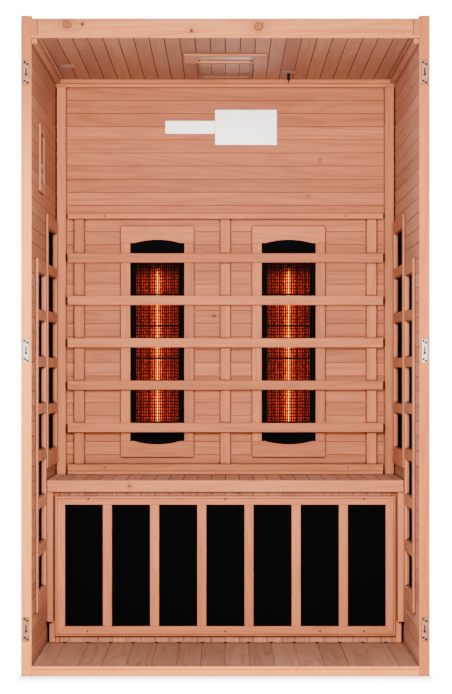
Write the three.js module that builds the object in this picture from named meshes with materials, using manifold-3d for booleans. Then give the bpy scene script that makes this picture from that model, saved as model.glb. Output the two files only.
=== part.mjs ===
// Two-seat infrared sauna cabin in softwood, with its front wall taken off.
// Millimetres, +Z up. The open front faces -Y, and the origin is under the middle of the floor.

import * as THREE from 'three';
import { mergeVertices } from 'three/addons/utils/BufferGeometryUtils.js';
import Module from 'manifold-3d';

// Overall cabin
const CABIN_WIDTH = 1200;
const CABIN_DEPTH = 1020;
const CABIN_HEIGHT = 1938;

// Gap between pieces that are fitted into one another
const FIT_GAP = 0.3;

// How far a cutting tool stands past the face that it opens
const CUT_PAST = 1;

// Facets of round stretches, turned pieces and slender rods
const CURVE_SEGMENTS = 3;
const ROUND_SEGMENTS = 20;
const ROD_SEGMENTS = 16;
const NUT_SEGMENTS = 12;

// Wall panels: outer boards, core frame and inner lining
const OUTER_BOARD = 5;
const WALL_CORE = 20;
const LINING = 6;
const CORE_STILE = 44;
const CORE_RAIL = 60;
const CORE_MID_STILE = 34;

// Tongue-and-groove boards: visible face and the V between two boards
const LINING_FACE = 44;
const OUTER_FACE = 94;
const CEILING_FACE = 45;
const FLOOR_FACE = 73;
const GROOVE_WIDTH = 2.4;
const GROOVE_DEPTH = 1.6;
const LINING_GROOVE_DROP = 26;

// Roof panel and ceiling
const ROOF_DROP = 8;
const ROOF_FRAME_HEIGHT = 49;
const ROOF_SKIN = 5;
const ROOF_SIDE_MEMBER = 17;
const ROOF_CROSS_RAIL = 22;
const CEILING_BOARD = 9;
const BATTEN = 16;
const BATTEN_SETBACK = 2;

// Trim on the back wall: crown rail and corner stiles
const CROWN_HEIGHT = 26;
const CROWN_DEPTH = 16;
const CROWN_FILLET_HEIGHT = 11;
const CROWN_FILLET_DEPTH = 8;
const CROWN_SLOPE = 2;
const CORNER_STILE_WIDTH = 29.5;
const CORNER_STILE_DEPTH = 15;
const CORNER_STILE_GAP = 5;

// Floor panel
const FLOOR_FRAME = 19;
const FLOOR_BOARD = 9;
const FLOOR_RAIL = 40;
const FLOOR_JOIST = 45;
const FLOOR_JOIST_PITCH = 260;

// Bench
const BENCH_HEIGHT = 520;
const BENCH_DEPTH = 429;
const SEAT_BOARD = 15;
const SEAT_SIDE_GAP = 2;
const FASCIA_HEIGHT = 36;
const FASCIA_DEPTH = 18;
const FASCIA_SIDE_GAP = 4;
const FASCIA_ROUND = 4;
const KICK_SETBACK = 28;
const KICK_BOARD = 12;
const KICK_SIDE_GAP = 9;
const POST_WIDTH = 21;
const POST_DEPTH = 20;
const POST_FLOOR_GAP = 71;
const LEDGER_WIDTH = 24;
const LEDGER_HEIGHT = 40;

// Heater frames with a ladder of windows, and the carbon panels behind them
const SIDE_FRAME_DEPTH = 8;
const SIDE_FRAME_STILE = 36;
const SIDE_FRAME_TOP = 40;
const SIDE_FRAME_BOTTOM = 52;
const SIDE_FRAME_DIVIDER = 30.5;
const FRAME_BEVEL = 1;
const CARBON_PANEL = 3;
const CARBON_OVERLAP = 12;
const FRONT_HEATER_SETBACK = 140;
const FRONT_HEATER_BENCH_GAP = 72;
const FRONT_HEATER_FLOOR_GAP = 143;
const FRONT_HEATER_WINDOW = 112.5;
const FRONT_HEATER_CONTROL_GAP = 120;
const REAR_HEATER_WINDOW = 118;
const REAR_HEATER_BENCH_GAP = 40;
const REAR_HEATER_LEAD = 20;
const REAR_HEATER_BACK_GAP = 2;
const REAR_HEATER_COVER_GAP = 40;
const BENCH_FRAME_DEPTH = 12;
const BENCH_FRAME_MEMBER = 31;
const BENCH_FRAME_DIVIDER = 30.5;
const BENCH_FRAME_WINDOW = 119.5;
const BENCH_FRAME_SIDE_GAP = 26;
const BENCH_FRAME_FLOOR_GAP = 24;
const BENCH_FRAME_FASCIA_GAP = 16;

// Back heaters: arched wooden frame, pressed reflector, quartz emitter and wire guard
const BACK_HEATER_SPACING = 440;
const BACK_HEATER_OFFSET = -8;
const BACK_HEATER_BENCH_GAP = 59;
const BACK_FRAME_WIDTH = 244;
const BACK_FRAME_HEIGHT = 772;
const BACK_FRAME_DEPTH = 16;
const BACK_OPENING_WIDTH = 180.5;
const BACK_OPENING_HEIGHT = 663;
const BACK_OPENING_LIFT = 53;
const ARCH_RISE = 11;
const ARCH_SHOULDER = 13;
const REFLECTOR_SHEET = 1.5;
const REFLECTOR_FLANGE = 2;
const REFLECTOR_FLANGE_MARGIN = 4.5;
const REFLECTOR_WIDTH = 141;
const REFLECTOR_LENGTH = 540;
const REFLECTOR_WALL_GAP = 2.4;
const REFLECTOR_STEPS = 14;
const EMITTER_RADIUS = 5;
const EMITTER_CAP_RADIUS = 7;
const EMITTER_CAP_LENGTH = 20;
const EMITTER_SETBACK = 9;
const GUARD_DEPTH = 2;
const GUARD_RIM = 4;
const GUARD_WIRE = 2;
const GUARD_ROWS = 18;
const GUARD_COLUMNS = 4;

// Backrest: three posts between two rails, with slats across the front
const BACKREST_BENCH_GAP = 14;
const BACKREST_HEIGHT = 858;
const BACKREST_TOP_RAIL = 17;
const BACKREST_BOTTOM_RAIL = 21;
const BACKREST_END_GAP = 43;
const BACKREST_POST_WIDTH = 32;
const BACKREST_POST_DEPTH = 27;
const BACKREST_POST_INSET = 21;
const SLAT_HEIGHT = 31;
const SLAT_DEPTH = 18;
const SLAT_COUNT = 5;
const SLAT_PITCH = 141.6;
const SLAT_FIRST_LIFT = 128;
const SLAT_ROUND = 3;

// Ceiling lamp, vent, temperature probe and spotlight
const VENT_BACK_GAP = 94;
const VENT_RUNNER_LENGTH = 333;
const VENT_RUNNER_WEB = 5;
const VENT_RUNNER_LIP = 3;
const VENT_RUNNER_LIP_DEPTH = 2;
const VENT_CROSSBAR = 12;
const VENT_BOARD = 7;
const VENT_SLIDER_WIDTH = 157;
const VENT_SLIDER_LENGTH = 184;
const VENT_FRONT_STOP = 8;
const VENT_SIDE_GAP = 0.4;
const VENT_HOLE_WIDTH = 100;
const VENT_HOLE_LENGTH = 120;
const VENT_TRIMMER = 12;
const VENT_POCKET = 12;
const VENT_POCKET_DEPTH = 5;
const VENT_POCKET_GAP = 3;
const LAMP_VENT_GAP = 46;
const LAMP_FRAME_LENGTH = 185;
const LAMP_FRAME_WIDTH = 255;
const LAMP_FRAME_DEPTH = 7;
const LAMP_WINDOW_WIDTH = 169;
const LAMP_WINDOW_LENGTH = 128;
const LAMP_WINDOW_BACK = 21;
const LAMP_LEDGE = 6;
const LAMP_HEIGHT = 22;
const PROBE_X = 207;
const PROBE_BACK_GAP = 189;
const PROBE_FLANGE_RADIUS = 29;
const PROBE_FLANGE = 3;
const PROBE_STEM_RADIUS = 5;
const PROBE_STEM = 20;
const PROBE_TIP_RADIUS = 1.6;
const PROBE_TIP = 11;
const SPOT_WALL_GAP = 64;
const SPOT_FRONT_GAP = 636;
const SPOT_RADIUS = 30;
const SPOT_FLANGE = 2.5;
const SPOT_BARREL_RADIUS = 25;
const SPOT_BARREL = 20;
const SPOT_LENS_RADIUS = 19;
const SPOT_LENS_DEPTH = 1.2;

// Control panel on the left wall
const CONTROL_SETBACK = 245;
const CONTROL_CEILING_GAP = 224;
const CONTROL_FRAME_WIDTH = 170;
const CONTROL_FRAME_HEIGHT = 205;
const CONTROL_FRAME_BORDER = 26;
const CONTROL_RECESS = 5;
const CONTROL_FIT = 0.5;
const CONTROL_WALL_GAP = 2;
const CONTROL_SCREEN_WIDTH = 84;
const CONTROL_SCREEN_HEIGHT = 48;
const CONTROL_SCREEN_DEPTH = 1;
const CONTROL_SCREEN_LIFT = 30;
const BUTTON_RADIUS = 8;
const BUTTON_PITCH_Y = 44;
const BUTTON_PITCH_Z = 30;
const BUTTON_DROP = 34;
const BUTTON_PROUD = 1.5;
const BUTTON_BODY = 8;
const BUTTON_TRAVEL_ROOM = 1.6;
const BUTTON_FIT = 0.4;

// Wiring covers let into the side linings, measured from the back lining and the ceiling
const COVER_FIT = 0.4;
const LEFT_COVER = { length: 221, height: 93, backGap: 142, ceilingGap: 107 };
const RIGHT_COVER = { length: 146, height: 56, backGap: 218, ceilingGap: 89 };

// Hook plates let into the front edges, which hold the front wall
const PLATE_EDGE_GAP = 0.5;
const PLATE_HEIGHT = 71;
const PLATE_THICKNESS = 1.5;
const PLATE_CORNER = 3;
const PLATE_TOP_GAP = 167;
const PLATE_BOTTOM_GAP = 137;
const KEYHOLE_RADIUS = 4.4;
const KEYHOLE_NECK = 4.4;
const KEYHOLE_DROP = 6;
const KEYHOLE_TOP = 14;

// Power supply in the roof, with the gland for the mains lead
const SUPPLY_X = 240;
const SUPPLY_BACK_GAP = 130;
const SUPPLY_WIDTH = 230;
const SUPPLY_LENGTH = 240;
const SUPPLY_HEIGHT = 36;
const GLAND_RADIUS = 10;
const GLAND_NUT_RADIUS = 14;
const GLAND_NUT = 5;
const GLAND_ROOT = 1;
const GLAND_INSET = 40;

// Places worked out from the sizes above
const wall = OUTER_BOARD + WALL_CORE + LINING;
const innerX = CABIN_WIDTH / 2 - wall;
const fittedX = innerX - FIT_GAP;
const frontY = -CABIN_DEPTH / 2;
const backY = CABIN_DEPTH / 2 - wall;
const fittedBackY = backY - FIT_GAP;
const floorZ = FLOOR_FRAME + FLOOR_BOARD;
const roofTopZ = CABIN_HEIGHT - ROOF_DROP;
const boardTopZ = roofTopZ - ROOF_FRAME_HEIGHT;
const ceilingZ = boardTopZ - CEILING_BOARD;
const crownZ = ceilingZ - CROWN_HEIGHT;
const benchZ = floorZ + BENCH_HEIGHT;
const benchY = backY - BENCH_DEPTH;
const seatY = benchY + FASCIA_DEPTH;
const kickY = benchY + KICK_SETBACK;
const fasciaZ = benchZ - FASCIA_HEIGHT;
const cornerStileY = backY - CORNER_STILE_DEPTH;

const WOOD = { color: 0xd2977a, roughness: 0.62, metalness: 0 };
const PALE_WOOD = { color: 0xdba685, roughness: 0.6, metalness: 0 };
const CARBON = { color: 0x08080a, roughness: 0.7, metalness: 0 };
const BLACK_STEEL = { color: 0x0b0b0c, roughness: 0.45, metalness: 0.6 };
const POLISHED = { color: 0xc9b7a6, roughness: 0.18, metalness: 1 };
const CHROME = { color: 0xcfd0d2, roughness: 0.22, metalness: 1 };
const GLOWING = { color: 0xff8a2b, roughness: 0.3, metalness: 0, emissive: 0xff5a10 };
const OPAL = { color: 0xc7c2bc, roughness: 0.4, metalness: 0 };
const GREY_METAL = { color: 0xa2a09c, roughness: 0.4, metalness: 0.8 };
const BLACK_PLASTIC = { color: 0x151517, roughness: 0.35, metalness: 0 };
const BUTTON_GREY = { color: 0x8e9094, roughness: 0.4, metalness: 0 };
const ZINC = { color: 0x9a9da0, roughness: 0.5, metalness: 0.7 };

const X = new THREE.Vector3(1, 0, 0);
const Y = new THREE.Vector3(0, 1, 0);
const Z = new THREE.Vector3(0, 0, 1);
const minus = (axis) => axis.clone().negate();

const cabin = new THREE.Group();

function addPart(name, geometry, look) {
  const mesh = new THREE.Mesh(geometry, new THREE.MeshStandardMaterial(look));
  mesh.name = name;
  cabin.add(mesh);
}

// Solids: cutting and joining
const wasm = await Module();
wasm.setup();

function toSolid(geometry) {
  const bare = geometry.clone();
  bare.deleteAttribute('normal');
  bare.deleteAttribute('uv');
  const merged = mergeVertices(bare, 1e-4);
  const vertProperties = new Float32Array(merged.attributes.position.array);
  const triVerts = new Uint32Array(merged.index.array);
  return new wasm.Manifold(new wasm.Mesh({ numProp: 3, vertProperties, triVerts }));
}

function toGeometry(solid) {
  const mesh = solid.getMesh();
  const geometry = new THREE.BufferGeometry();
  geometry.setAttribute('position', new THREE.BufferAttribute(mesh.vertProperties, 3));
  geometry.setIndex(new THREE.BufferAttribute(mesh.triVerts, 1));
  geometry.computeVertexNormals();
  return geometry;
}

function join(...pieces) {
  return toGeometry(pieces.map(toSolid).reduce((whole, piece) => whole.add(piece)));
}

function cut(base, ...tools) {
  return toGeometry(tools.map(toSolid).reduce((whole, tool) => whole.subtract(tool), toSolid(base)));
}

// Shapes: each takes its limits as [low, high] along an axis
function block([x0, x1], [y0, y1], [z0, z1]) {
  const geometry = new THREE.BoxGeometry(x1 - x0, y1 - y0, z1 - z0);
  return geometry.translate((x0 + x1) / 2, (y0 + y1) / 2, (z0 + z1) / 2);
}

// A profile in u and v, drawn out along their cross product.
// A bevel tapers both ends in, and a negative one flares them out.
function extrude(shape, length, u, v, origin, bevel = 0) {
  const ease = Math.abs(bevel);
  const geometry = new THREE.ExtrudeGeometry(shape, {
    depth: length - 2 * ease,
    bevelEnabled: ease > 0,
    bevelThickness: ease,
    bevelSize: bevel,
    bevelOffset: -bevel,
    bevelSegments: 1,
    curveSegments: CURVE_SEGMENTS,
  });
  geometry.translate(0, 0, ease);
  const frame = new THREE.Matrix4().makeBasis(u, v, u.clone().cross(v));
  return geometry.applyMatrix4(frame.setPosition(...origin));
}

function outline(points) {
  return new THREE.Shape(points.map(([u, v]) => new THREE.Vector2(u, v)));
}

function rectangle([u0, u1], [v0, v1]) {
  return [[u0, v0], [u1, v0], [u1, v1], [u0, v1]];
}

function roundedRectangle(width, height, radius) {
  const shape = new THREE.Shape();
  const u = width / 2 - radius;
  const v = height / 2 - radius;
  shape.absarc(u, v, radius, 0, Math.PI / 2);
  shape.absarc(-u, v, radius, Math.PI / 2, Math.PI);
  shape.absarc(-u, -v, radius, Math.PI, 1.5 * Math.PI);
  shape.absarc(u, -v, radius, 1.5 * Math.PI, 2 * Math.PI);
  return shape;
}

// A panel of boards: u runs across the boards, v out of the face that has the V-grooves
function boards(span, thickness, length, face, start, u, v, origin) {
  const half = GROOVE_WIDTH / 2;
  const points = [[0, 0], [span, 0], [span, thickness]];
  const last = Math.floor((span - GROOVE_WIDTH - start) / face);
  for (let index = last; index >= 0; index -= 1) {
    const groove = start + index * face;
    points.push([groove + half, thickness], [groove, thickness - GROOVE_DEPTH], [groove - half, thickness]);
  }
  points.push([0, thickness]);
  return extrude(outline(points), length, u, v, origin);
}

// Distance to the first groove when one groove has to fall at a given place
function firstGroove(place, face) {
  const rest = place % face;
  return rest > GROOVE_WIDTH ? rest : rest + face;
}

// A turned piece: points are [radius, height] from one end of its axis to the other
function turned(points, axisTurn, place, segments = ROUND_SEGMENTS) {
  const profile = points.map(([radius, height]) => new THREE.Vector2(radius, height));
  const geometry = new THREE.LatheGeometry(profile, segments);
  return geometry.applyMatrix4(axisTurn).translate(...place);
}

const alongZ = new THREE.Matrix4().makeRotationX(Math.PI / 2);
const downZ = new THREE.Matrix4().makeRotationX(-Math.PI / 2);
const alongX = new THREE.Matrix4().makeRotationZ(-Math.PI / 2);

// A flat frame with openings cut through it, all its edges eased
function easedFrame(shape, openings, depth, u, v, origin) {
  const blank = extrude(shape, depth, u, v, origin, FRAME_BEVEL);
  return cut(blank, ...openings.map((opening) => extrude(opening, depth, u, v, origin, -FRAME_BEVEL)));
}

function windowFrame(width, height, depth, windows, u, v, origin) {
  const openings = windows.map(([uRange, vRange]) => outline(rectangle(uRange, vRange)));
  return easedFrame(outline(rectangle([0, width], [0, height])), openings, depth, u, v, origin);
}

// How many windows with dividers between them fit into a length
function windowCount(length, windowSize, divider) {
  return Math.floor((length + divider) / (windowSize + divider));
}

function ladder(count, start, windowSize, divider) {
  return Array.from({ length: count }, (_, index) => {
    const low = start + index * (windowSize + divider);
    return [low, low + windowSize];
  });
}

// Ladder heaters on the side walls: one before the bench and one beside the seat
const controlTopZ = ceilingZ - CONTROL_CEILING_GAP;
const controlZ = controlTopZ - CONTROL_FRAME_HEIGHT;
const controlY = frontY + CONTROL_SETBACK;
const backrestZ = benchZ + BACKREST_BENCH_GAP;
const backrestTopZ = backrestZ + BACKREST_HEIGHT;
const coverLowZ = ceilingZ - Math.max(
  LEFT_COVER.ceilingGap + LEFT_COVER.height,
  RIGHT_COVER.ceilingGap + RIGHT_COVER.height,
);

function sideHeater(startY, endY, baseZ, limitZ, windowHeight) {
  const room = limitZ - baseZ - SIDE_FRAME_TOP - SIDE_FRAME_BOTTOM;
  const count = windowCount(room, windowHeight, SIDE_FRAME_DIVIDER);
  const windows = ladder(count, SIDE_FRAME_BOTTOM, windowHeight, SIDE_FRAME_DIVIDER);
  const topWindow = windows[count - 1][1];
  return { startY, endY, baseZ, windows, height: topWindow + SIDE_FRAME_TOP };
}

const frontHeater = sideHeater(
  frontY + FRONT_HEATER_SETBACK,
  benchY - FRONT_HEATER_BENCH_GAP,
  floorZ + FRONT_HEATER_FLOOR_GAP,
  controlZ - FRONT_HEATER_CONTROL_GAP,
  FRONT_HEATER_WINDOW,
);
const rearHeater = sideHeater(
  benchY - REAR_HEATER_LEAD,
  cornerStileY - REAR_HEATER_BACK_GAP,
  benchZ + REAR_HEATER_BENCH_GAP,
  Math.min(backrestTopZ, coverLowZ - REAR_HEATER_COVER_GAP),
  REAR_HEATER_WINDOW,
);
const sideHeaters = { front: frontHeater, rear: rearHeater };

function windowRangeY(heater) {
  return [heater.startY + SIDE_FRAME_STILE, heater.endY - SIDE_FRAME_STILE];
}

// Side walls: side is -1 on the left and 1 on the right
const sides = [['left', -1], ['right', 1]];
const sideRange = (side, a, b) => (side < 0 ? [-b, -a] : [a, b]);
const coreX = innerX + LINING;
const outerX = coreX + WALL_CORE;
const plateZs = [
  PLATE_BOTTOM_GAP,
  (PLATE_BOTTOM_GAP + CABIN_HEIGHT - PLATE_TOP_GAP) / 2,
  CABIN_HEIGHT - PLATE_TOP_GAP,
];
const plateX = (coreX + outerX) / 2;
const plateWidth = WALL_CORE - 2 * PLATE_EDGE_GAP;

function sideShell(side) {
  const endY = side < 0 ? -frontY : frontY;
  const skin = boards(CABIN_HEIGHT, OUTER_BOARD, CABIN_DEPTH, OUTER_FACE, OUTER_FACE,
    Z, side < 0 ? minus(X) : X, [side * outerX, endY, 0]);
  const x = sideRange(side, coreX, outerX);
  const midY = (frontHeater.endY + rearHeater.startY) / 2;
  const full = [0, CABIN_HEIGHT];
  const members = [
    block(x, [frontY, frontY + CORE_STILE], full),
    block(x, [-frontY - CORE_STILE, -frontY], full),
    block(x, [midY - CORE_MID_STILE / 2, midY + CORE_MID_STILE / 2], full),
    block(x, [frontY, -frontY], [0, CORE_RAIL]),
    block(x, [frontY, -frontY], [CABIN_HEIGHT - CORE_RAIL, CABIN_HEIGHT]),
  ];
  const pocketX = plateWidth / 2 + FIT_GAP;
  const pocketZ = PLATE_HEIGHT / 2 + FIT_GAP;
  const pockets = plateZs.map((z) => block(
    [side * plateX - pocketX, side * plateX + pocketX],
    [frontY - CUT_PAST, frontY + PLATE_THICKNESS],
    [z - pocketZ, z + pocketZ],
  ));
  return cut(join(skin, ...members), ...pockets);
}

const liningGroove = firstGroove(ceilingZ - LINING_GROOVE_DROP, LINING_FACE);
const coverRange = (cover) => ({
  y: [backY - cover.backGap - cover.length, backY - cover.backGap],
  z: [ceilingZ - cover.ceilingGap - cover.height, ceilingZ - cover.ceilingGap],
});
const grow = ([low, high], by) => [low - by, high + by];
const controlOpening = {
  y: [controlY + CONTROL_FRAME_BORDER, controlY + CONTROL_FRAME_WIDTH - CONTROL_FRAME_BORDER],
  z: [controlZ + CONTROL_FRAME_BORDER, controlTopZ - CONTROL_FRAME_BORDER],
};

function sideLining(side, cover) {
  const startY = side < 0 ? frontY : -frontY;
  const panel = boards(CABIN_HEIGHT, LINING, CABIN_DEPTH, LINING_FACE, liningGroove,
    Z, side < 0 ? X : minus(X), [side * coreX, startY, 0]);
  const through = sideRange(side, innerX - CUT_PAST, coreX + CUT_PAST);
  const holes = Object.values(sideHeaters).flatMap((heater) => heater.windows.map(
    ([low, high]) => block(through, windowRangeY(heater), [heater.baseZ + low, heater.baseZ + high]),
  ));
  const { y, z } = coverRange(cover);
  holes.push(block(through, grow(y, COVER_FIT), grow(z, COVER_FIT)));
  if (side < 0) {
    holes.push(block(through, controlOpening.y, controlOpening.z));
  }
  return cut(panel, ...holes);
}

function hookPlate() {
  const shape = roundedRectangle(plateWidth, PLATE_HEIGHT, PLATE_CORNER);
  const half = KEYHOLE_NECK / 2;
  const open = Math.acos(half / KEYHOLE_RADIUS);
  const keyhole = new THREE.Path();
  keyhole.absarc(0, -KEYHOLE_DROP, KEYHOLE_RADIUS, Math.PI - open, open);
  keyhole.lineTo(half, KEYHOLE_TOP - half);
  keyhole.absarc(0, KEYHOLE_TOP - half, half, 0, Math.PI);
  shape.holes = [keyhole];
  return shape;
}

function sideCover(side, cover) {
  const { y, z } = coverRange(cover);
  return block(sideRange(side, innerX, coreX), y, z);
}

for (const [name, side] of sides) {
  const cover = side < 0 ? LEFT_COVER : RIGHT_COVER;
  addPart(`${name}_wall_shell`, sideShell(side), WOOD);
  addPart(`${name}_wall_lining`, sideLining(side, cover), WOOD);
  addPart(`${name}_wiring_cover`, sideCover(side, cover), WOOD);
  plateZs.forEach((z, index) => {
    const position = ['bottom', 'middle', 'top'][index];
    const plate = extrude(hookPlate(), PLATE_THICKNESS, X, Z,
      [side * plateX, frontY + PLATE_THICKNESS, z]);
    addPart(`${name}_hook_plate_${position}`, plate, CHROME);
  });
}

// Side heaters: ladder frame on the lining, carbon panel behind it
for (const [name, side] of sides) {
  for (const [place, heater] of Object.entries(sideHeaters)) {
    const width = heater.endY - heater.startY;
    const across = [SIDE_FRAME_STILE, width - SIDE_FRAME_STILE];
    const windows = heater.windows.map((range) => [across, range]);
    const frame = windowFrame(width, heater.height, SIDE_FRAME_DEPTH, windows,
      side < 0 ? Y : minus(Y), Z, [side * innerX, side < 0 ? heater.startY : heater.endY, heater.baseZ]);
    addPart(`${name}_${place}_heater_frame`, frame, PALE_WOOD);
    const lowest = heater.baseZ + heater.windows[0][0];
    const highest = heater.baseZ + heater.windows[heater.windows.length - 1][1];
    const panel = block(
      sideRange(side, coreX, coreX + CARBON_PANEL),
      grow(windowRangeY(heater), CARBON_OVERLAP),
      grow([lowest, highest], CARBON_OVERLAP),
    );
    addPart(`${name}_${place}_heater_panel`, panel, CARBON);
  }
}

// Back wall, fitted between the side linings, with two openings for the heaters
const backHeaterXs = [
  ['left', BACK_HEATER_OFFSET - BACK_HEATER_SPACING / 2],
  ['right', BACK_HEATER_OFFSET + BACK_HEATER_SPACING / 2],
];
const backFrameZ = benchZ + BACK_HEATER_BENCH_GAP;
const openingZ = backFrameZ + BACK_OPENING_LIFT;
const openingMidZ = openingZ + BACK_OPENING_HEIGHT / 2;
const flangeHalfX = BACK_OPENING_WIDTH / 2 + REFLECTOR_FLANGE_MARGIN;
const flangeHalfZ = BACK_OPENING_HEIGHT / 2 + ARCH_RISE + REFLECTOR_FLANGE_MARGIN;
const backCoreY = backY + LINING;
const backOuterY = backCoreY + WALL_CORE;

function backShell() {
  const skin = boards(CABIN_HEIGHT, OUTER_BOARD, 2 * fittedX, OUTER_FACE, OUTER_FACE,
    Z, Y, [fittedX, backOuterY, 0]);
  const y = [backCoreY, backOuterY];
  const full = [0, CABIN_HEIGHT];
  return join(
    skin,
    block([-fittedX, -fittedX + CORE_STILE], y, full),
    block([fittedX - CORE_STILE, fittedX], y, full),
    block(grow([BACK_HEATER_OFFSET, BACK_HEATER_OFFSET], CORE_MID_STILE / 2), y, full),
    block([-fittedX, fittedX], y, [0, CORE_RAIL]),
    block([-fittedX, fittedX], y, [CABIN_HEIGHT - CORE_RAIL, CABIN_HEIGHT]),
  );
}

function backLining() {
  const panel = boards(CABIN_HEIGHT, LINING, 2 * fittedX, LINING_FACE, liningGroove,
    Z, minus(Y), [-fittedX, backCoreY, 0]);
  const holes = backHeaterXs.map(([, x]) => block(
    grow([x, x], flangeHalfX + FIT_GAP),
    [backY - CUT_PAST, backCoreY + CUT_PAST],
    grow([openingMidZ, openingMidZ], flangeHalfZ + FIT_GAP),
  ));
  return cut(panel, ...holes);
}

addPart('back_wall_shell', backShell(), WOOD);
addPart('back_wall_lining', backLining(), WOOD);

// Crown rail under the ceiling and a stile in each back corner, nailed up as one surround
function backSurround() {
  const crown = outline([
    [0, 0],
    [CROWN_FILLET_DEPTH, 0],
    [CROWN_FILLET_DEPTH, CROWN_FILLET_HEIGHT],
    [CROWN_DEPTH, CROWN_FILLET_HEIGHT + CROWN_SLOPE],
    [CROWN_DEPTH, CROWN_HEIGHT],
    [0, CROWN_HEIGHT],
  ]);
  const stileX = innerX - CORNER_STILE_GAP;
  const y = [cornerStileY, backY];
  const z = [benchZ, crownZ];
  return join(
    extrude(crown, 2 * fittedX, minus(Y), Z, [fittedX, backY, crownZ]),
    block([-stileX, -stileX + CORNER_STILE_WIDTH], y, z),
    block([stileX - CORNER_STILE_WIDTH, stileX], y, z),
  );
}

addPart('back_wall_surround', backSurround(), PALE_WOOD);

// Roof panel: frame under a skin, with a framed vent hole and a hole for the gland
const runnerEndY = backY - VENT_BACK_GAP;
const runnerY = runnerEndY - VENT_RUNNER_LENGTH;
const sliderY = runnerY + VENT_FRONT_STOP;
const ventY = sliderY + (VENT_SLIDER_LENGTH - VENT_HOLE_LENGTH) / 2;
const ventRangeX = [-VENT_HOLE_WIDTH / 2, VENT_HOLE_WIDTH / 2];
const ventRangeY = [ventY, ventY + VENT_HOLE_LENGTH];
const lampEndY = runnerY - LAMP_VENT_GAP;
const lampY = lampEndY - LAMP_FRAME_LENGTH;
const lampWindowY = [lampEndY - LAMP_WINDOW_BACK - LAMP_WINDOW_LENGTH, lampEndY - LAMP_WINDOW_BACK];
const lampWindowX = [-LAMP_WINDOW_WIDTH / 2, LAMP_WINDOW_WIDTH / 2];
const supplyY = backY - SUPPLY_BACK_GAP - SUPPLY_LENGTH;
const glandX = SUPPLY_X + SUPPLY_WIDTH / 2 - GLAND_INSET;
const glandY = supplyY + SUPPLY_LENGTH - GLAND_INSET;
const spotX = -innerX + SPOT_WALL_GAP;
const spotY = frontY + SPOT_FRONT_GAP;

function drum(radius, [z0, z1], x, y) {
  return turned([[0, z0], [radius, z0], [radius, z1], [0, z1]], alongZ, [x, y, 0]);
}

function roofPanel() {
  const z = [boardTopZ, roofTopZ];
  const y = [frontY, fittedBackY];
  const frame = join(
    block([-fittedX, fittedX], y, [roofTopZ - ROOF_SKIN, roofTopZ]),
    block([-fittedX, -fittedX + ROOF_SIDE_MEMBER], y, z),
    block([fittedX - ROOF_SIDE_MEMBER, fittedX], y, z),
    block([-fittedX, fittedX], [frontY, frontY + ROOF_CROSS_RAIL], z),
    block([-fittedX, fittedX], [fittedBackY - ROOF_CROSS_RAIL, fittedBackY], z),
    block(grow(ventRangeX, VENT_TRIMMER), grow(ventRangeY, VENT_TRIMMER), z),
  );
  const through = [boardTopZ - CUT_PAST, roofTopZ + CUT_PAST];
  return cut(frame, block(ventRangeX, ventRangeY, through),
    drum(GLAND_RADIUS + FIT_GAP, through, glandX, glandY));
}

function ceilingBoards() {
  const panel = boards(2 * fittedX, CEILING_BOARD, fittedBackY - frontY, CEILING_FACE,
    firstGroove(fittedX, CEILING_FACE), X, minus(Z), [-fittedX, frontY, boardTopZ]);
  const through = [ceilingZ - CUT_PAST, boardTopZ + CUT_PAST];
  const pocketX = VENT_SLIDER_WIDTH / 2 + VENT_SIDE_GAP + VENT_RUNNER_WEB + VENT_POCKET_GAP;
  const pocketY = sliderY + VENT_SLIDER_LENGTH;
  const pockets = sides.map(([, side]) => block(
    sideRange(side, pocketX, pocketX + VENT_POCKET),
    [pocketY - VENT_POCKET, pocketY],
    [ceilingZ - CUT_PAST, ceilingZ + VENT_POCKET_DEPTH],
  ));
  return cut(
    panel,
    block(ventRangeX, ventRangeY, through),
    block(grow(lampWindowX, LAMP_LEDGE + FIT_GAP), grow(lampWindowY, LAMP_LEDGE + FIT_GAP), through),
    drum(SPOT_BARREL_RADIUS + FIT_GAP, through, spotX, spotY),
    ...pockets,
  );
}

addPart('roof_panel', roofPanel(), WOOD);
addPart('ceiling_boards', ceilingBoards(), WOOD);
for (const [name, side] of sides) {
  const batten = block(
    sideRange(side, innerX - BATTEN, innerX),
    [frontY + BATTEN_SETBACK, backY - CROWN_DEPTH - FIT_GAP],
    [ceilingZ - BATTEN, ceilingZ],
  );
  addPart(`${name}_ceiling_batten`, batten, PALE_WOOD);
}

// Power supply lying on the ceiling boards, its gland through the roof skin
function powerSupply() {
  const top = boardTopZ + SUPPLY_HEIGHT;
  const box = block(
    [SUPPLY_X - SUPPLY_WIDTH / 2, SUPPLY_X + SUPPLY_WIDTH / 2],
    [supplyY, supplyY + SUPPLY_LENGTH],
    [boardTopZ, top],
  );
  const nutZ = roofTopZ + FIT_GAP;
  const gland = turned([
    [0, top - GLAND_ROOT],
    [GLAND_RADIUS, top - GLAND_ROOT],
    [GLAND_RADIUS, nutZ],
    [GLAND_NUT_RADIUS, nutZ],
    [GLAND_NUT_RADIUS, nutZ + GLAND_NUT],
    [0, nutZ + GLAND_NUT],
  ], alongZ, [glandX, glandY, 0], NUT_SEGMENTS);
  return join(box, gland);
}

addPart('power_supply', powerSupply(), ZINC);

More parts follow.
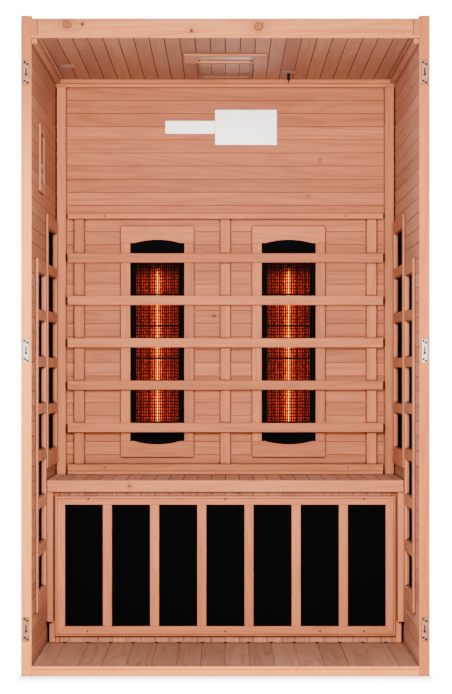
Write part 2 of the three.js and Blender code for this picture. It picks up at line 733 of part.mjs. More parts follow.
// Floor panel: boards on a frame that stands on the ground
function floorPanel() {
  const y = [frontY, fittedBackY];
  const z = [0, FLOOR_FRAME];
  const deck = boards(2 * fittedX, FLOOR_BOARD, fittedBackY - frontY, FLOOR_FACE,
    firstGroove(fittedX, FLOOR_FACE), X, Z, [-fittedX, fittedBackY, FLOOR_FRAME]);
  const perSide = Math.floor((fittedX - FLOOR_JOIST) / FLOOR_JOIST_PITCH);
  const joists = Array.from({ length: 2 * perSide + 1 }, (_, index) => {
    const x = (index - perSide) * FLOOR_JOIST_PITCH;
    return block([x - FLOOR_JOIST / 2, x + FLOOR_JOIST / 2], y, z);
  });
  return join(
    deck,
    block([-fittedX, fittedX], [frontY, frontY + FLOOR_RAIL], z),
    block([-fittedX, fittedX], [fittedBackY - FLOOR_RAIL, fittedBackY], z),
    block([-fittedX, -fittedX + FLOOR_JOIST], y, z),
    block([fittedX - FLOOR_JOIST, fittedX], y, z),
    ...joists,
  );
}

addPart('floor_panel', floorPanel(), WOOD);

// Bench: carcass with the kick boards, posts and ledgers, then the seat and its fascia
function benchCarcass() {
  const kickX = innerX - KICK_SIDE_GAP;
  const seatUnderZ = benchZ - SEAT_BOARD;
  const kick = boards(2 * kickX, KICK_BOARD, seatUnderZ - floorZ, CEILING_FACE,
    firstGroove(kickX, CEILING_FACE), X, minus(Y), [-kickX, kickY + KICK_BOARD, seatUnderZ]);
  const fittings = sides.flatMap(([, side]) => [
    block(
      sideRange(side, fittedX - POST_WIDTH, fittedX),
      [kickY - POST_DEPTH, kickY + GROOVE_DEPTH],
      [floorZ + POST_FLOOR_GAP, fasciaZ],
    ),
    block(
      sideRange(side, fittedX - LEDGER_WIDTH, fittedX),
      [kickY + KICK_BOARD, fittedBackY],
      [seatUnderZ - LEDGER_HEIGHT, seatUnderZ],
    ),
  ]);
  return join(kick, ...fittings);
}

function benchFascia() {
  const width = 2 * (innerX - FASCIA_SIDE_GAP);
  const shape = new THREE.Shape();
  shape.moveTo(0, 0);
  shape.lineTo(FASCIA_DEPTH, 0);
  shape.lineTo(FASCIA_DEPTH, FASCIA_HEIGHT - FASCIA_ROUND);
  shape.absarc(FASCIA_DEPTH - FASCIA_ROUND, FASCIA_HEIGHT - FASCIA_ROUND, FASCIA_ROUND, 0, Math.PI / 2);
  shape.lineTo(0, FASCIA_HEIGHT);
  return extrude(shape, width, minus(Y), Z, [width / 2, seatY, fasciaZ]);
}

function benchSeat() {
  const seatX = innerX - SEAT_SIDE_GAP;
  return boards(2 * seatX, SEAT_BOARD, fittedBackY - seatY - FIT_GAP, CEILING_FACE,
    firstGroove(seatX, CEILING_FACE), X, Z, [-seatX, fittedBackY, benchZ - SEAT_BOARD]);
}

addPart('bench_carcass', benchCarcass(), WOOD);
addPart('bench_fascia', benchFascia(), PALE_WOOD);
addPart('bench_seat', benchSeat(), WOOD);

// Bench heater: carbon panel on the kick boards, held by a frame with a row of windows
const benchFrameZ = floorZ + BENCH_FRAME_FLOOR_GAP;
const benchFrameHeight = fasciaZ - BENCH_FRAME_FASCIA_GAP - benchFrameZ;
const benchFrameRoom = 2 * (innerX - BENCH_FRAME_SIDE_GAP - BENCH_FRAME_MEMBER);
const benchWindowCount = windowCount(benchFrameRoom, BENCH_FRAME_WINDOW, BENCH_FRAME_DIVIDER);
const benchWindows = ladder(benchWindowCount, BENCH_FRAME_MEMBER, BENCH_FRAME_WINDOW, BENCH_FRAME_DIVIDER);
const benchFrameWidth = benchWindows[benchWindowCount - 1][1] + BENCH_FRAME_MEMBER;
const benchPanelY = kickY - CARBON_PANEL;

function benchHeaterFrame() {
  const tall = [BENCH_FRAME_MEMBER, benchFrameHeight - BENCH_FRAME_MEMBER];
  return windowFrame(benchFrameWidth, benchFrameHeight, BENCH_FRAME_DEPTH,
    benchWindows.map((range) => [range, tall]), X, Z, [-benchFrameWidth / 2, benchPanelY, benchFrameZ]);
}

function benchHeaterPanel() {
  const margin = BENCH_FRAME_MEMBER - CARBON_OVERLAP;
  return block(
    grow([0, 0], benchFrameWidth / 2 - margin),
    [benchPanelY, kickY],
    grow([benchFrameZ, benchFrameZ + benchFrameHeight], -margin),
  );
}

addPart('bench_heater_frame', benchHeaterFrame(), PALE_WOOD);
addPart('bench_heater_panel', benchHeaterPanel(), CARBON);

// Back heaters
function archedFrame(x) {
  const shape = outline(rectangle(
    grow([0, 0], BACK_FRAME_WIDTH / 2),
    [backFrameZ, backFrameZ + BACK_FRAME_HEIGHT],
  ));
  const half = BACK_OPENING_WIDTH / 2;
  const chord = half - ARCH_SHOULDER;
  const radius = (chord * chord + ARCH_RISE * ARCH_RISE) / (2 * ARCH_RISE);
  const sweep = Math.asin(chord / radius);
  const topZ = openingZ + BACK_OPENING_HEIGHT;
  const opening = new THREE.Shape();
  opening.moveTo(-half, openingZ);
  opening.absarc(0, openingZ - ARCH_RISE + radius, radius, -Math.PI / 2 - sweep, -Math.PI / 2 + sweep);
  opening.lineTo(half, openingZ);
  opening.lineTo(half, topZ);
  opening.absarc(0, topZ + ARCH_RISE - radius, radius, Math.PI / 2 - sweep, Math.PI / 2 + sweep);
  opening.lineTo(-half, topZ);
  return easedFrame(shape, [opening], BACK_FRAME_DEPTH, X, Z, [x, backY, 0]);
}

// Trough with a parabolic section, drawn from -half to half of its width
function parabola(width, depth, front) {
  const half = width / 2;
  const points = [[half, -front], [-half, -front]];
  for (let index = 0; index <= REFLECTOR_STEPS; index += 1) {
    const u = -half + (width * index) / REFLECTOR_STEPS;
    points.push([u, depth * (1 - (u / half) ** 2)]);
  }
  return outline(points);
}

function reflector(x) {
  const depth = LINING + WALL_CORE - REFLECTOR_WALL_GAP;
  const flange = block(
    grow([x, x], flangeHalfX),
    [backY, backY + REFLECTOR_FLANGE],
    grow([openingMidZ, openingMidZ], flangeHalfZ),
  );
  const outerLength = REFLECTOR_LENGTH + 2 * REFLECTOR_SHEET;
  const outer = extrude(parabola(REFLECTOR_WIDTH + 2 * REFLECTOR_SHEET, depth + REFLECTOR_SHEET, 0),
    outerLength, X, Y, [x, backY, openingMidZ - outerLength / 2]);
  const inner = extrude(parabola(REFLECTOR_WIDTH, depth, CUT_PAST),
    REFLECTOR_LENGTH, X, Y, [x, backY, openingMidZ - REFLECTOR_LENGTH / 2]);
  return cut(join(flange, outer), inner);
}

// Quartz tube with a ceramic cap on each end, held between the ends of the trough
function emitter(x) {
  const half = REFLECTOR_LENGTH / 2 - FIT_GAP;
  const shoulder = half - EMITTER_CAP_LENGTH;
  return turned([
    [0, -half],
    [EMITTER_CAP_RADIUS, -half],
    [EMITTER_CAP_RADIUS, -shoulder],
    [EMITTER_RADIUS, -shoulder],
    [EMITTER_RADIUS, shoulder],
    [EMITTER_CAP_RADIUS, shoulder],
    [EMITTER_CAP_RADIUS, half],
    [0, half],
  ], alongZ, [x, backY + EMITTER_SETBACK, openingMidZ], ROD_SEGMENTS);
}

// Welded guard: a rim round a grid of wires, on the flange of the reflector
function wireGuard(x) {
  const innerWidth = REFLECTOR_WIDTH;
  const innerHeight = REFLECTOR_LENGTH;
  const gapX = (innerWidth - (GUARD_COLUMNS - 1) * GUARD_WIRE) / GUARD_COLUMNS;
  const gapZ = (innerHeight - (GUARD_ROWS - 1) * GUARD_WIRE) / GUARD_ROWS;
  const columns = ladder(GUARD_COLUMNS, x - innerWidth / 2, gapX, GUARD_WIRE);
  const rows = ladder(GUARD_ROWS, openingMidZ - innerHeight / 2, gapZ, GUARD_WIRE);
  const plate = block(
    grow([x, x], innerWidth / 2 + GUARD_RIM),
    [backY - GUARD_DEPTH, backY],
    grow([openingMidZ, openingMidZ], innerHeight / 2 + GUARD_RIM),
  );
  const through = [backY - GUARD_DEPTH - CUT_PAST, backY + CUT_PAST];
  return cut(plate, ...rows.flatMap((row) => columns.map((column) => block(column, through, row))));
}

for (const [name, x] of backHeaterXs) {
  addPart(`back_heater_frame_${name}`, archedFrame(x), PALE_WOOD);
  addPart(`back_heater_reflector_${name}`, reflector(x), POLISHED);
  addPart(`back_heater_emitter_${name}`, emitter(x), GLOWING);
  addPart(`back_heater_guard_${name}`, wireGuard(x), BLACK_STEEL);
}

// Backrest
const backrestX = innerX - BACKREST_END_GAP;
const postFrontY = backY - BACKREST_POST_DEPTH;
const slatFrontY = postFrontY - SLAT_DEPTH;

function backrestFrame() {
  const railX = [-backrestX, backrestX];
  const railY = [slatFrontY, backY];
  const outerPost = backrestX - BACKREST_POST_INSET - BACKREST_POST_WIDTH / 2;
  const posts = [-outerPost, 0, outerPost].map((x) => block(
    grow([x, x], BACKREST_POST_WIDTH / 2),
    [postFrontY, backY],
    [backrestZ, backrestTopZ],
  ));
  return join(
    block(railX, railY, [backrestZ, backrestZ + BACKREST_BOTTOM_RAIL]),
    block(railX, railY, [backrestTopZ - BACKREST_TOP_RAIL, backrestTopZ]),
    ...posts,
  );
}

addPart('backrest_frame', backrestFrame(), PALE_WOOD);
for (let index = 0; index < SLAT_COUNT; index += 1) {
  const z = backrestZ + SLAT_FIRST_LIFT + SLAT_HEIGHT / 2 + index * SLAT_PITCH;
  const slat = extrude(roundedRectangle(SLAT_DEPTH, SLAT_HEIGHT, SLAT_ROUND), 2 * backrestX,
    Y, Z, [-backrestX, postFrontY - SLAT_DEPTH / 2, z]);
  addPart(`backrest_slat_${index + 1}`, slat, PALE_WOOD);
}

// Ceiling lamp: wooden frame under the ceiling, opal lamp lying on its inner edge
function lampFrame() {
  const window = [
    lampWindowX.map((x) => x + LAMP_FRAME_WIDTH / 2),
    lampWindowY.map((y) => y - lampY),
  ];
  return windowFrame(LAMP_FRAME_WIDTH, LAMP_FRAME_LENGTH, LAMP_FRAME_DEPTH, [window],
    X, Y, [-LAMP_FRAME_WIDTH / 2, lampY, ceilingZ - LAMP_FRAME_DEPTH]);
}

addPart('lamp_frame', lampFrame(), PALE_WOOD);
addPart('ceiling_lamp', block(grow(lampWindowX, LAMP_LEDGE), grow(lampWindowY, LAMP_LEDGE),
  [ceilingZ, ceilingZ + LAMP_HEIGHT]), OPAL);

// Vent: a board that slides back on the lips of two runners
function ventRunners() {
  const inner = VENT_SLIDER_WIDTH / 2 + VENT_SIDE_GAP;
  const outer = inner + VENT_RUNNER_WEB;
  const z = [ceilingZ - VENT_BOARD, ceilingZ];
  const y = [runnerY, runnerEndY];
  const lipZ = [z[0], z[0] + VENT_RUNNER_LIP_DEPTH];
  const members = sides.flatMap(([, side]) => [
    block(sideRange(side, inner, outer), y, z),
    block(sideRange(side, inner - VENT_RUNNER_LIP, inner), y, lipZ),
  ]);
  return join(block([-outer, outer], [runnerEndY - VENT_CROSSBAR, runnerEndY], z), ...members);
}

function ventSlider() {
  const wide = VENT_SLIDER_WIDTH / 2;
  const narrow = wide - VENT_RUNNER_LIP;
  const step = VENT_RUNNER_LIP_DEPTH + FIT_GAP;
  const top = VENT_BOARD - FIT_GAP;
  const profile = outline([
    [-narrow, 0], [narrow, 0], [narrow, step], [wide, step],
    [wide, top], [-wide, top], [-wide, step], [-narrow, step],
  ]);
  return extrude(profile, VENT_SLIDER_LENGTH, X, Z,
    [0, sliderY + VENT_SLIDER_LENGTH, ceilingZ - VENT_BOARD]);
}

addPart('vent_runners', ventRunners(), PALE_WOOD);
addPart('vent_slider', ventSlider(), PALE_WOOD);

// Temperature probe hanging under its flange, and a round spotlight let into the ceiling
const probe = turned([
  [0, 0],
  [PROBE_FLANGE_RADIUS, 0],
  [PROBE_FLANGE_RADIUS, PROBE_FLANGE],
  [PROBE_STEM_RADIUS, PROBE_FLANGE],
  [PROBE_STEM_RADIUS, PROBE_FLANGE + PROBE_STEM],
  [PROBE_TIP_RADIUS, PROBE_FLANGE + PROBE_STEM + PROBE_STEM_RADIUS],
  [PROBE_TIP_RADIUS, PROBE_FLANGE + PROBE_STEM + PROBE_TIP],
  [0, PROBE_FLANGE + PROBE_STEM + PROBE_TIP],
], downZ, [PROBE_X, backY - PROBE_BACK_GAP, ceilingZ]);
addPart('temperature_probe', probe, GREY_METAL);

const spot = turned([
  [0, -SPOT_BARREL],
  [SPOT_BARREL_RADIUS, -SPOT_BARREL],
  [SPOT_BARREL_RADIUS, 0],
  [SPOT_RADIUS, 0],
  [SPOT_RADIUS, SPOT_FLANGE],
  [SPOT_LENS_RADIUS, SPOT_FLANGE],
  [SPOT_LENS_RADIUS, SPOT_FLANGE - SPOT_LENS_DEPTH],
  [0, SPOT_FLANGE - SPOT_LENS_DEPTH],
], downZ, [spotX, spotY, ceilingZ]);
addPart('ceiling_spotlight', spot, GREY_METAL);

// Control panel: wooden frame, black module with a screen recess, and four push buttons
const moduleFaceX = -innerX + SIDE_FRAME_DEPTH - CONTROL_RECESS;
const moduleBackX = -outerX + CONTROL_WALL_GAP;
const moduleY = grow(controlOpening.y, -CONTROL_FIT);
const moduleZ = grow(controlOpening.z, -CONTROL_FIT);
const moduleMidY = (moduleY[0] + moduleY[1]) / 2;
const moduleMidZ = (moduleZ[0] + moduleZ[1]) / 2;
const buttonBackX = moduleFaceX + BUTTON_PROUD - BUTTON_BODY;
const buttons = [
  ['power', -1, 1], ['light', 1, 1], ['down', -1, -1], ['up', 1, -1],
].map(([name, across, upward]) => ({
  name,
  y: moduleMidY + (across * BUTTON_PITCH_Y) / 2,
  z: moduleMidZ - BUTTON_DROP + (upward * BUTTON_PITCH_Z) / 2,
}));

function rod(radius, [x0, x1], y, z) {
  return turned([[0, x0], [radius, x0], [radius, x1], [0, x1]], alongX, [0, y, z]);
}

function controlModule() {
  const screenZ = moduleMidZ + CONTROL_SCREEN_LIFT;
  const screen = block(
    [moduleFaceX - CONTROL_SCREEN_DEPTH, moduleFaceX + CUT_PAST],
    grow([moduleMidY, moduleMidY], CONTROL_SCREEN_WIDTH / 2),
    grow([screenZ, screenZ], CONTROL_SCREEN_HEIGHT / 2),
  );
  const wells = buttons.map(({ y, z }) => rod(
    BUTTON_RADIUS + BUTTON_FIT, [buttonBackX - BUTTON_TRAVEL_ROOM, moduleFaceX + CUT_PAST], y, z,
  ));
  return cut(block([moduleBackX, moduleFaceX], moduleY, moduleZ), screen, ...wells);
}

const controlFrame = windowFrame(CONTROL_FRAME_WIDTH, CONTROL_FRAME_HEIGHT, SIDE_FRAME_DEPTH, [[
  [CONTROL_FRAME_BORDER, CONTROL_FRAME_WIDTH - CONTROL_FRAME_BORDER],
  [CONTROL_FRAME_BORDER, CONTROL_FRAME_HEIGHT - CONTROL_FRAME_BORDER],
]], Y, Z, [-innerX, controlY, controlZ]);
addPart('control_frame', controlFrame, PALE_WOOD);
addPart('control_module', controlModule(), BLACK_PLASTIC);
for (const { name, y, z } of buttons) {
  const button = rod(BUTTON_RADIUS, [buttonBackX, moduleFaceX + BUTTON_PROUD], y, z);
  addPart(`control_button_${name}`, button, BUTTON_GREY);
}

export default cabin;
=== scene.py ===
import math

import bmesh
import bpy
from mathutils import Matrix, Vector


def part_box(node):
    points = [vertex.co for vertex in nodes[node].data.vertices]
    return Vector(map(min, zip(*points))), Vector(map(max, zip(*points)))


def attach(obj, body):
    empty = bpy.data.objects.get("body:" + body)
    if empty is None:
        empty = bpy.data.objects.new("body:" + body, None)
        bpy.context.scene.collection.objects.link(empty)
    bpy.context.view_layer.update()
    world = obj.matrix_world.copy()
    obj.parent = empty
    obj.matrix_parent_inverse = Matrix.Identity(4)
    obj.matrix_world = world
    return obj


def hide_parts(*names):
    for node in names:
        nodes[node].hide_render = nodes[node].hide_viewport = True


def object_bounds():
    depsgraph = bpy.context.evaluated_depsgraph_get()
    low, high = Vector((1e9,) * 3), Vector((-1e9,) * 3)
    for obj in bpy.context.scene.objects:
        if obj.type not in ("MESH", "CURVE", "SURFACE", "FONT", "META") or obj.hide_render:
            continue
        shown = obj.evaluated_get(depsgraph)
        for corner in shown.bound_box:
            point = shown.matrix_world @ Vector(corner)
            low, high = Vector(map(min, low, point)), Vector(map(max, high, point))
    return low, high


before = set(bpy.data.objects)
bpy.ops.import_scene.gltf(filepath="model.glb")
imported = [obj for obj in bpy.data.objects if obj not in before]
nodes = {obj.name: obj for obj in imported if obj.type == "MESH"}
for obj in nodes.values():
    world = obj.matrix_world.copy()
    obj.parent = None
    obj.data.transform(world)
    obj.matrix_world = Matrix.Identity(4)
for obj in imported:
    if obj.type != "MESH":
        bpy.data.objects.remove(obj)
packed_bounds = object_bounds()

# Camera: straight into the open front, level, at the height of the photo's horizon.
# The lens is shifted up instead of tilted, so the walls stay upright.
camera_data = bpy.data.cameras.new("camera")
camera_data.lens = 122.0
camera_data.sensor_width = 36.0
camera_data.shift_x = 0.0009
camera_data.shift_y = 0.0331
camera = bpy.data.objects.new("camera", camera_data)
camera.location = (0, -7.41, 0.898)
camera.rotation_euler = (math.pi / 2, 0, 0)
bpy.context.scene.collection.objects.link(camera)
bpy.context.scene.camera = camera

# Stage: a white floor and surroundings, a soft key light in front of the cabin and a weaker one
# overhead. The camera sees the surroundings as white, and the wood sees a dimmer sky.
# The floor is darker close to the cabin's outline, as in its contact shadow.
MM = 0.001
SKY_STRENGTH = 0.5
WHITE_STRENGTH = 16.0
KEY_POWER = 88.0
TOP_POWER = 30.0
FLOOR_HALF = 30.0
FLOOR_GLOW = 0.3
SIDE_SHADOW = 6 * MM
END_SHADOW = 200 * MM
SHADOW_START = -10 * MM
SIDE_DARK = 0.05
END_DARK = 0.03


def shader_node(tree, kind, inputs=None, **settings):
    made = tree.nodes.new(kind)
    for name, value in settings.items():
        setattr(made, name, value)
    for key, value in (inputs or {}).items():
        if isinstance(value, bpy.types.NodeSocket):
            tree.links.new(value, made.inputs[key])
        else:
            made.inputs[key].default_value = value
    return made


def new_material(name):
    material = bpy.data.materials.new(name)
    material.use_nodes = True
    return material, material.node_tree, material.node_tree.nodes["Principled BSDF"]


def mix(tree, factor, first, second, blend="MIX"):
    made = shader_node(tree, "ShaderNodeMixRGB", blend_type=blend,
                       inputs={"Fac": factor, "Color1": first, "Color2": second})
    return made.outputs["Color"]


def math_node(tree, operation, *values):
    made = shader_node(tree, "ShaderNodeMath", operation=operation,
                       inputs=dict(enumerate(values)))
    return made.outputs[0]


def smooth_step(tree, value, low, high, start=0.0, end=1.0):
    made = shader_node(tree, "ShaderNodeMapRange", interpolation_type="SMOOTHSTEP", inputs={
        "Value": value, "From Min": low, "From Max": high, "To Min": start, "To Max": end})
    return made.outputs["Result"]


def object_place(tree):
    """Object coordinates: the whole vector, and its X, Y and Z."""
    place = shader_node(tree, "ShaderNodeTexCoord").outputs["Object"]
    return place, shader_node(tree, "ShaderNodeSeparateXYZ", inputs={0: place}).outputs


world = bpy.data.worlds.new("studio")
bpy.context.scene.world = world
world.use_nodes = True
sky = world.node_tree.nodes["Background"]
camera_ray = shader_node(world.node_tree, "ShaderNodeLightPath").outputs["Is Camera Ray"]
seen = math_node(world.node_tree, "MULTIPLY", camera_ray, WHITE_STRENGTH - SKY_STRENGTH)
seen = math_node(world.node_tree, "ADD", seen, SKY_STRENGTH)
sky.inputs["Color"].default_value = (1, 1, 1, 1)
world.node_tree.links.new(seen, sky.inputs["Strength"])

for name, place, aim, size, power in (
    ("key", (0, -2.2, 1.25), (0, 0.2, 0.95), 0.6, KEY_POWER),
    ("top", (0.6, -1.8, 4.4), (0, -0.4, 0), 3.0, TOP_POWER),
):
    light_data = bpy.data.lights.new(name, "AREA")
    light_data.size = size
    light_data.energy = power
    light = bpy.data.objects.new(name, light_data)
    light.location = place
    light.visible_camera = False
    light.rotation_euler = (Vector(aim) - Vector(place)).to_track_quat("-Z", "Y").to_euler()
    bpy.context.scene.collection.objects.link(light)

floor_mesh = bpy.data.meshes.new("studio_floor")
floor_corners = [(-FLOOR_HALF, -FLOOR_HALF, 0), (FLOOR_HALF, -FLOOR_HALF, 0),
                 (FLOOR_HALF, FLOOR_HALF, 0), (-FLOOR_HALF, FLOOR_HALF, 0)]
floor_mesh.from_pydata(floor_corners, [], [(0, 1, 2, 3)])
studio_floor = bpy.data.objects.new("studio_floor", floor_mesh)
bpy.context.scene.collection.objects.link(studio_floor)
floor_material, tree, floor_shader = new_material("studio_floor")
floor_shader.inputs["Base Color"].default_value = (0.9, 0.9, 0.9, 1)
floor_shader.inputs["Roughness"].default_value = 0.9
floor_shader.inputs["Specular IOR Level"].default_value = 0.0
floor_shader.inputs["Emission Color"].default_value = (1, 1, 1, 1)
split = object_place(tree)[1]
beside = math_node(tree, "SUBTRACT", math_node(tree, "ABSOLUTE", split["X"]), packed_bounds[1][0])
before = math_node(tree, "SUBTRACT", packed_bounds[0][1], split["Y"])
behind = math_node(tree, "SUBTRACT", split["Y"], packed_bounds[1][1])
clear = smooth_step(tree, beside, 0.0, SIDE_SHADOW, SIDE_DARK, 1.0)
for outside in (before, behind):
    clear_end = smooth_step(tree, outside, SHADOW_START, END_SHADOW, END_DARK, 1.0)
    clear = math_node(tree, "MAXIMUM", clear, clear_end)
camera_ray = shader_node(tree, "ShaderNodeLightPath").outputs["Is Camera Ray"]
glare = math_node(tree, "MULTIPLY", clear, WHITE_STRENGTH)
glare = math_node(tree, "MULTIPLY", glare, camera_ray)
tree.links.new(math_node(tree, "ADD", glare, FLOOR_GLOW), floor_shader.inputs["Emission Strength"])
floor_mesh.materials.append(floor_material)

# Walls: level softwood boards, tongued together and nailed to both sides of a core frame.
# The grooves follow the solids, with one lining groove level with the crown rail's underside.
# At the open front the upright members of the frame show, paler at the foot than at the top.
LINING_PITCH = 44 * MM
LINING_START = 42 * MM
OUTER_PITCH = 94 * MM
WHOLE_BOARD = -0.5
GROOVE_REACH = (0.6 * MM, 1.8 * MM)
PLAIN_REACH = (1.5 * MM, 4 * MM)
CORNER_SHADE_REACH = 9 * MM
CORNER_SHADE_OPEN = (0.50, 0.88)
FRONT_BOARD = 0.5
FRONT_FACE = packed_bounds[0][1]
FRONT_LIMIT = FRONT_FACE + 0.4 * MM
UPPER_REACH = (1.40, 1.80)
BACK_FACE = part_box("back_wall_lining")[0][1]
AXES = {"X": (1, 0, 0), "Y": (0, 1, 0), "Z": (0, 0, 1)}
BACK_TONES = ((0.71, 0.236, 0.106, 1), (0.47, 0.138, 0.056, 1))
SIDE_TONES = ((0.48, 0.195, 0.110, 1), (0.33, 0.122, 0.063, 1))
# The right lining is painted paler than the left one: painted light.
LIT_RIGHT_SIDE_TONES = ((0.575, 0.272, 0.170, 1), (0.405, 0.174, 0.101, 1))
EDGE_TONES = ((1.00, 0.318, 0.076, 1), (0.84, 0.230, 0.050, 1))
RIGHT_EDGE_TONES = ((0.70, 0.172, 0.046, 1), (0.51, 0.112, 0.028, 1))
UPPER_EDGE_TONES = ((0.61, 0.168, 0.056, 1), (0.44, 0.112, 0.035, 1))
# Dark colour of the groove joints, also used for painted shade in corners and round the hook plates.
JOINT_AND_SHADE_COLOUR = (0.035, 0.012, 0.007, 1)
KNOT_BROWN = (0.25, 0.070, 0.024, 1)
KNOT_BLACK = (0.03, 0.010, 0.006, 1)
RING_SHARE = 0.32
STREAK_SHARE = 0.36
FIBRE_SHARE = 0.40
BACK_KNOTS = (
    ((-0.038, BACK_FACE, 1.079), 13 * MM, 0.35, KNOT_BLACK),
    ((0.317, BACK_FACE, 1.603), 6 * MM, 1.0, KNOT_BROWN),
    ((0.277, BACK_FACE, 1.482), 6 * MM, 1.0, KNOT_BROWN),
)


def vector_node(tree, operation, inputs):
    return shader_node(tree, "ShaderNodeVectorMath", operation=operation, inputs=inputs).outputs


def wood_grain_group():
    """Contours of a stretched noise are the growth rings, and finer noises the streaks and fibres."""
    tree = bpy.data.node_groups.new("softwood_grain", "ShaderNodeTree")
    for name, kind, direction in (
        ("Grain", "NodeSocketVector", "INPUT"),
        ("Board", "NodeSocketFloat", "INPUT"),
        ("Light", "NodeSocketColor", "INPUT"),
        ("Dark", "NodeSocketColor", "INPUT"),
        ("Color", "NodeSocketColor", "OUTPUT"),
        ("Roughness", "NodeSocketFloat", "OUTPUT"),
        ("Height", "NodeSocketFloat", "OUTPUT"),
    ):
        tree.interface.new_socket(name, in_out=direction, socket_type=kind)
    given = tree.nodes.new("NodeGroupInput").outputs
    place = shader_node(tree, "ShaderNodeTexCoord").outputs["Object"]
    along = vector_node(tree, "DOT_PRODUCT", {0: place, 1: given["Grain"]})["Value"]
    number = shader_node(tree, "ShaderNodeTexWhiteNoise", noise_dimensions="1D",
                         inputs={"W": given["Board"]}).outputs

    def stretched_noise(across_scale, along_scale, detail):
        wide = vector_node(tree, "SCALE", {0: place, "Scale": across_scale})["Vector"]
        pull = math_node(tree, "MULTIPLY", along, along_scale - across_scale)
        long = vector_node(tree, "SCALE", {0: given["Grain"], "Scale": pull})["Vector"]
        jump = vector_node(tree, "SCALE", {0: number["Color"], "Scale": 40.0})["Vector"]
        point = vector_node(tree, "ADD", {0: wide, 1: long})["Vector"]
        point = vector_node(tree, "ADD", {0: point, 1: jump})["Vector"]
        made = shader_node(tree, "ShaderNodeTexNoise",
                           inputs={"Vector": point, "Scale": 1.0, "Detail": detail})
        return made.outputs["Fac"]

    broad = stretched_noise(across_scale=14.0, along_scale=1.1, detail=1.0)
    streak = smooth_step(tree, stretched_noise(across_scale=70.0, along_scale=2.0, detail=3.0), 0.3, 0.7)
    fibre = smooth_step(tree, stretched_noise(across_scale=480.0, along_scale=11.0, detail=2.0), 0.3, 0.7)
    rings = math_node(tree, "PINGPONG", math_node(tree, "MULTIPLY", broad, 9.0), 0.5)
    rings = smooth_step(tree, rings, 0.16, 0.50)
    shade = math_node(tree, "ADD", math_node(tree, "MULTIPLY", rings, RING_SHARE),
                      math_node(tree, "MULTIPLY", streak, STREAK_SHARE))
    shade = math_node(tree, "ADD", shade, math_node(tree, "MULTIPLY", fibre, FIBRE_SHARE))
    colour = mix(tree, shade, given["Light"], given["Dark"])
    tone = smooth_step(tree, number["Value"], 0.0, 1.0, 0.86, 1.10)
    grey = shader_node(tree, "ShaderNodeCombineColor",
                       inputs={"Red": tone, "Green": tone, "Blue": tone}).outputs["Color"]
    result = tree.nodes.new("NodeGroupOutput").inputs
    tree.links.new(mix(tree, 1.0, colour, grey, "MULTIPLY"), result["Color"])
    tree.links.new(smooth_step(tree, shade, 0.0, 1.0, 0.62, 0.48), result["Roughness"])
    tree.links.new(shade, result["Height"])
    return tree


def knot_group():
    """A mask for one knot: a rippled core with a fainter halo, both with an uneven edge."""
    tree = bpy.data.node_groups.new("knot", "ShaderNodeTree")
    tree.interface.new_socket("Centre", in_out="INPUT", socket_type="NodeSocketVector")
    tree.interface.new_socket("Radius", in_out="INPUT", socket_type="NodeSocketVector")
    tree.interface.new_socket("Mask", in_out="OUTPUT", socket_type="NodeSocketFloat")
    given = tree.nodes.new("NodeGroupInput").outputs
    place = shader_node(tree, "ShaderNodeTexCoord").outputs["Object"]
    wobble = shader_node(tree, "ShaderNodeTexNoise", inputs={"Vector": place, "Scale": 90.0})
    reach = vector_node(tree, "SUBTRACT", {0: place, 1: given["Centre"]})["Vector"]
    reach = vector_node(tree, "DIVIDE", {0: reach, 1: given["Radius"]})["Vector"]
    share = vector_node(tree, "LENGTH", {0: reach})["Value"]
    share = math_node(tree, "ADD", share, math_node(tree, "MULTIPLY", wobble.outputs["Fac"], 0.5))
    ripple = math_node(tree, "PINGPONG", math_node(tree, "MULTIPLY", share, 2.2), 0.5)
    core = smooth_step(tree, share, 0.55, 1.1, 1.0, 0.0)
    core = math_node(tree, "MULTIPLY", core, math_node(tree, "ADD", ripple, 0.55))
    halo = math_node(tree, "MULTIPLY", smooth_step(tree, share, 0.8, 2.4, 1.0, 0.0), ripple)
    total = math_node(tree, "MINIMUM", math_node(tree, "ADD", core, halo), 1.0)
    tree.links.new(total, tree.nodes.new("NodeGroupOutput").inputs["Mask"])
    return tree


GRAIN = wood_grain_group()
KNOT = knot_group()


def axis_socket(tree, axis):
    return shader_node(tree, "ShaderNodeCombineXYZ", inputs=dict(zip("XYZ", AXES[axis]))).outputs[0]


def off_from(tree, value, middle):
    return math_node(tree, "ABSOLUTE", math_node(tree, "SUBTRACT", value, middle))


def front_member(tree, split, board, axis, tones, upper_tones):
    """Gives the open front a member with its own grain and tones; returns the mask of the front."""
    at_front = math_node(tree, "LESS_THAN", split["Y"], FRONT_LIMIT)
    behind = math_node(tree, "SUBTRACT", 1.0, at_front)
    light, dark = tones
    if upper_tones:
        upper = smooth_step(tree, split["Z"], *UPPER_REACH)
        light = mix(tree, upper, light, upper_tones[0])
        dark = mix(tree, upper, dark, upper_tones[1])
    board["Grain"] = mix(tree, at_front, board["Grain"], axis_socket(tree, axis))
    board["Light"] = mix(tree, at_front, board["Light"], light)
    board["Dark"] = mix(tree, at_front, board["Dark"], dark)
    board["Board"] = math_node(tree, "ADD", math_node(tree, "MULTIPLY", board["Board"], behind),
                               math_node(tree, "MULTIPLY", at_front, FRONT_BOARD))
    board["Groove"] = math_node(tree, "MULTIPLY", board["Groove"], behind)
    return at_front


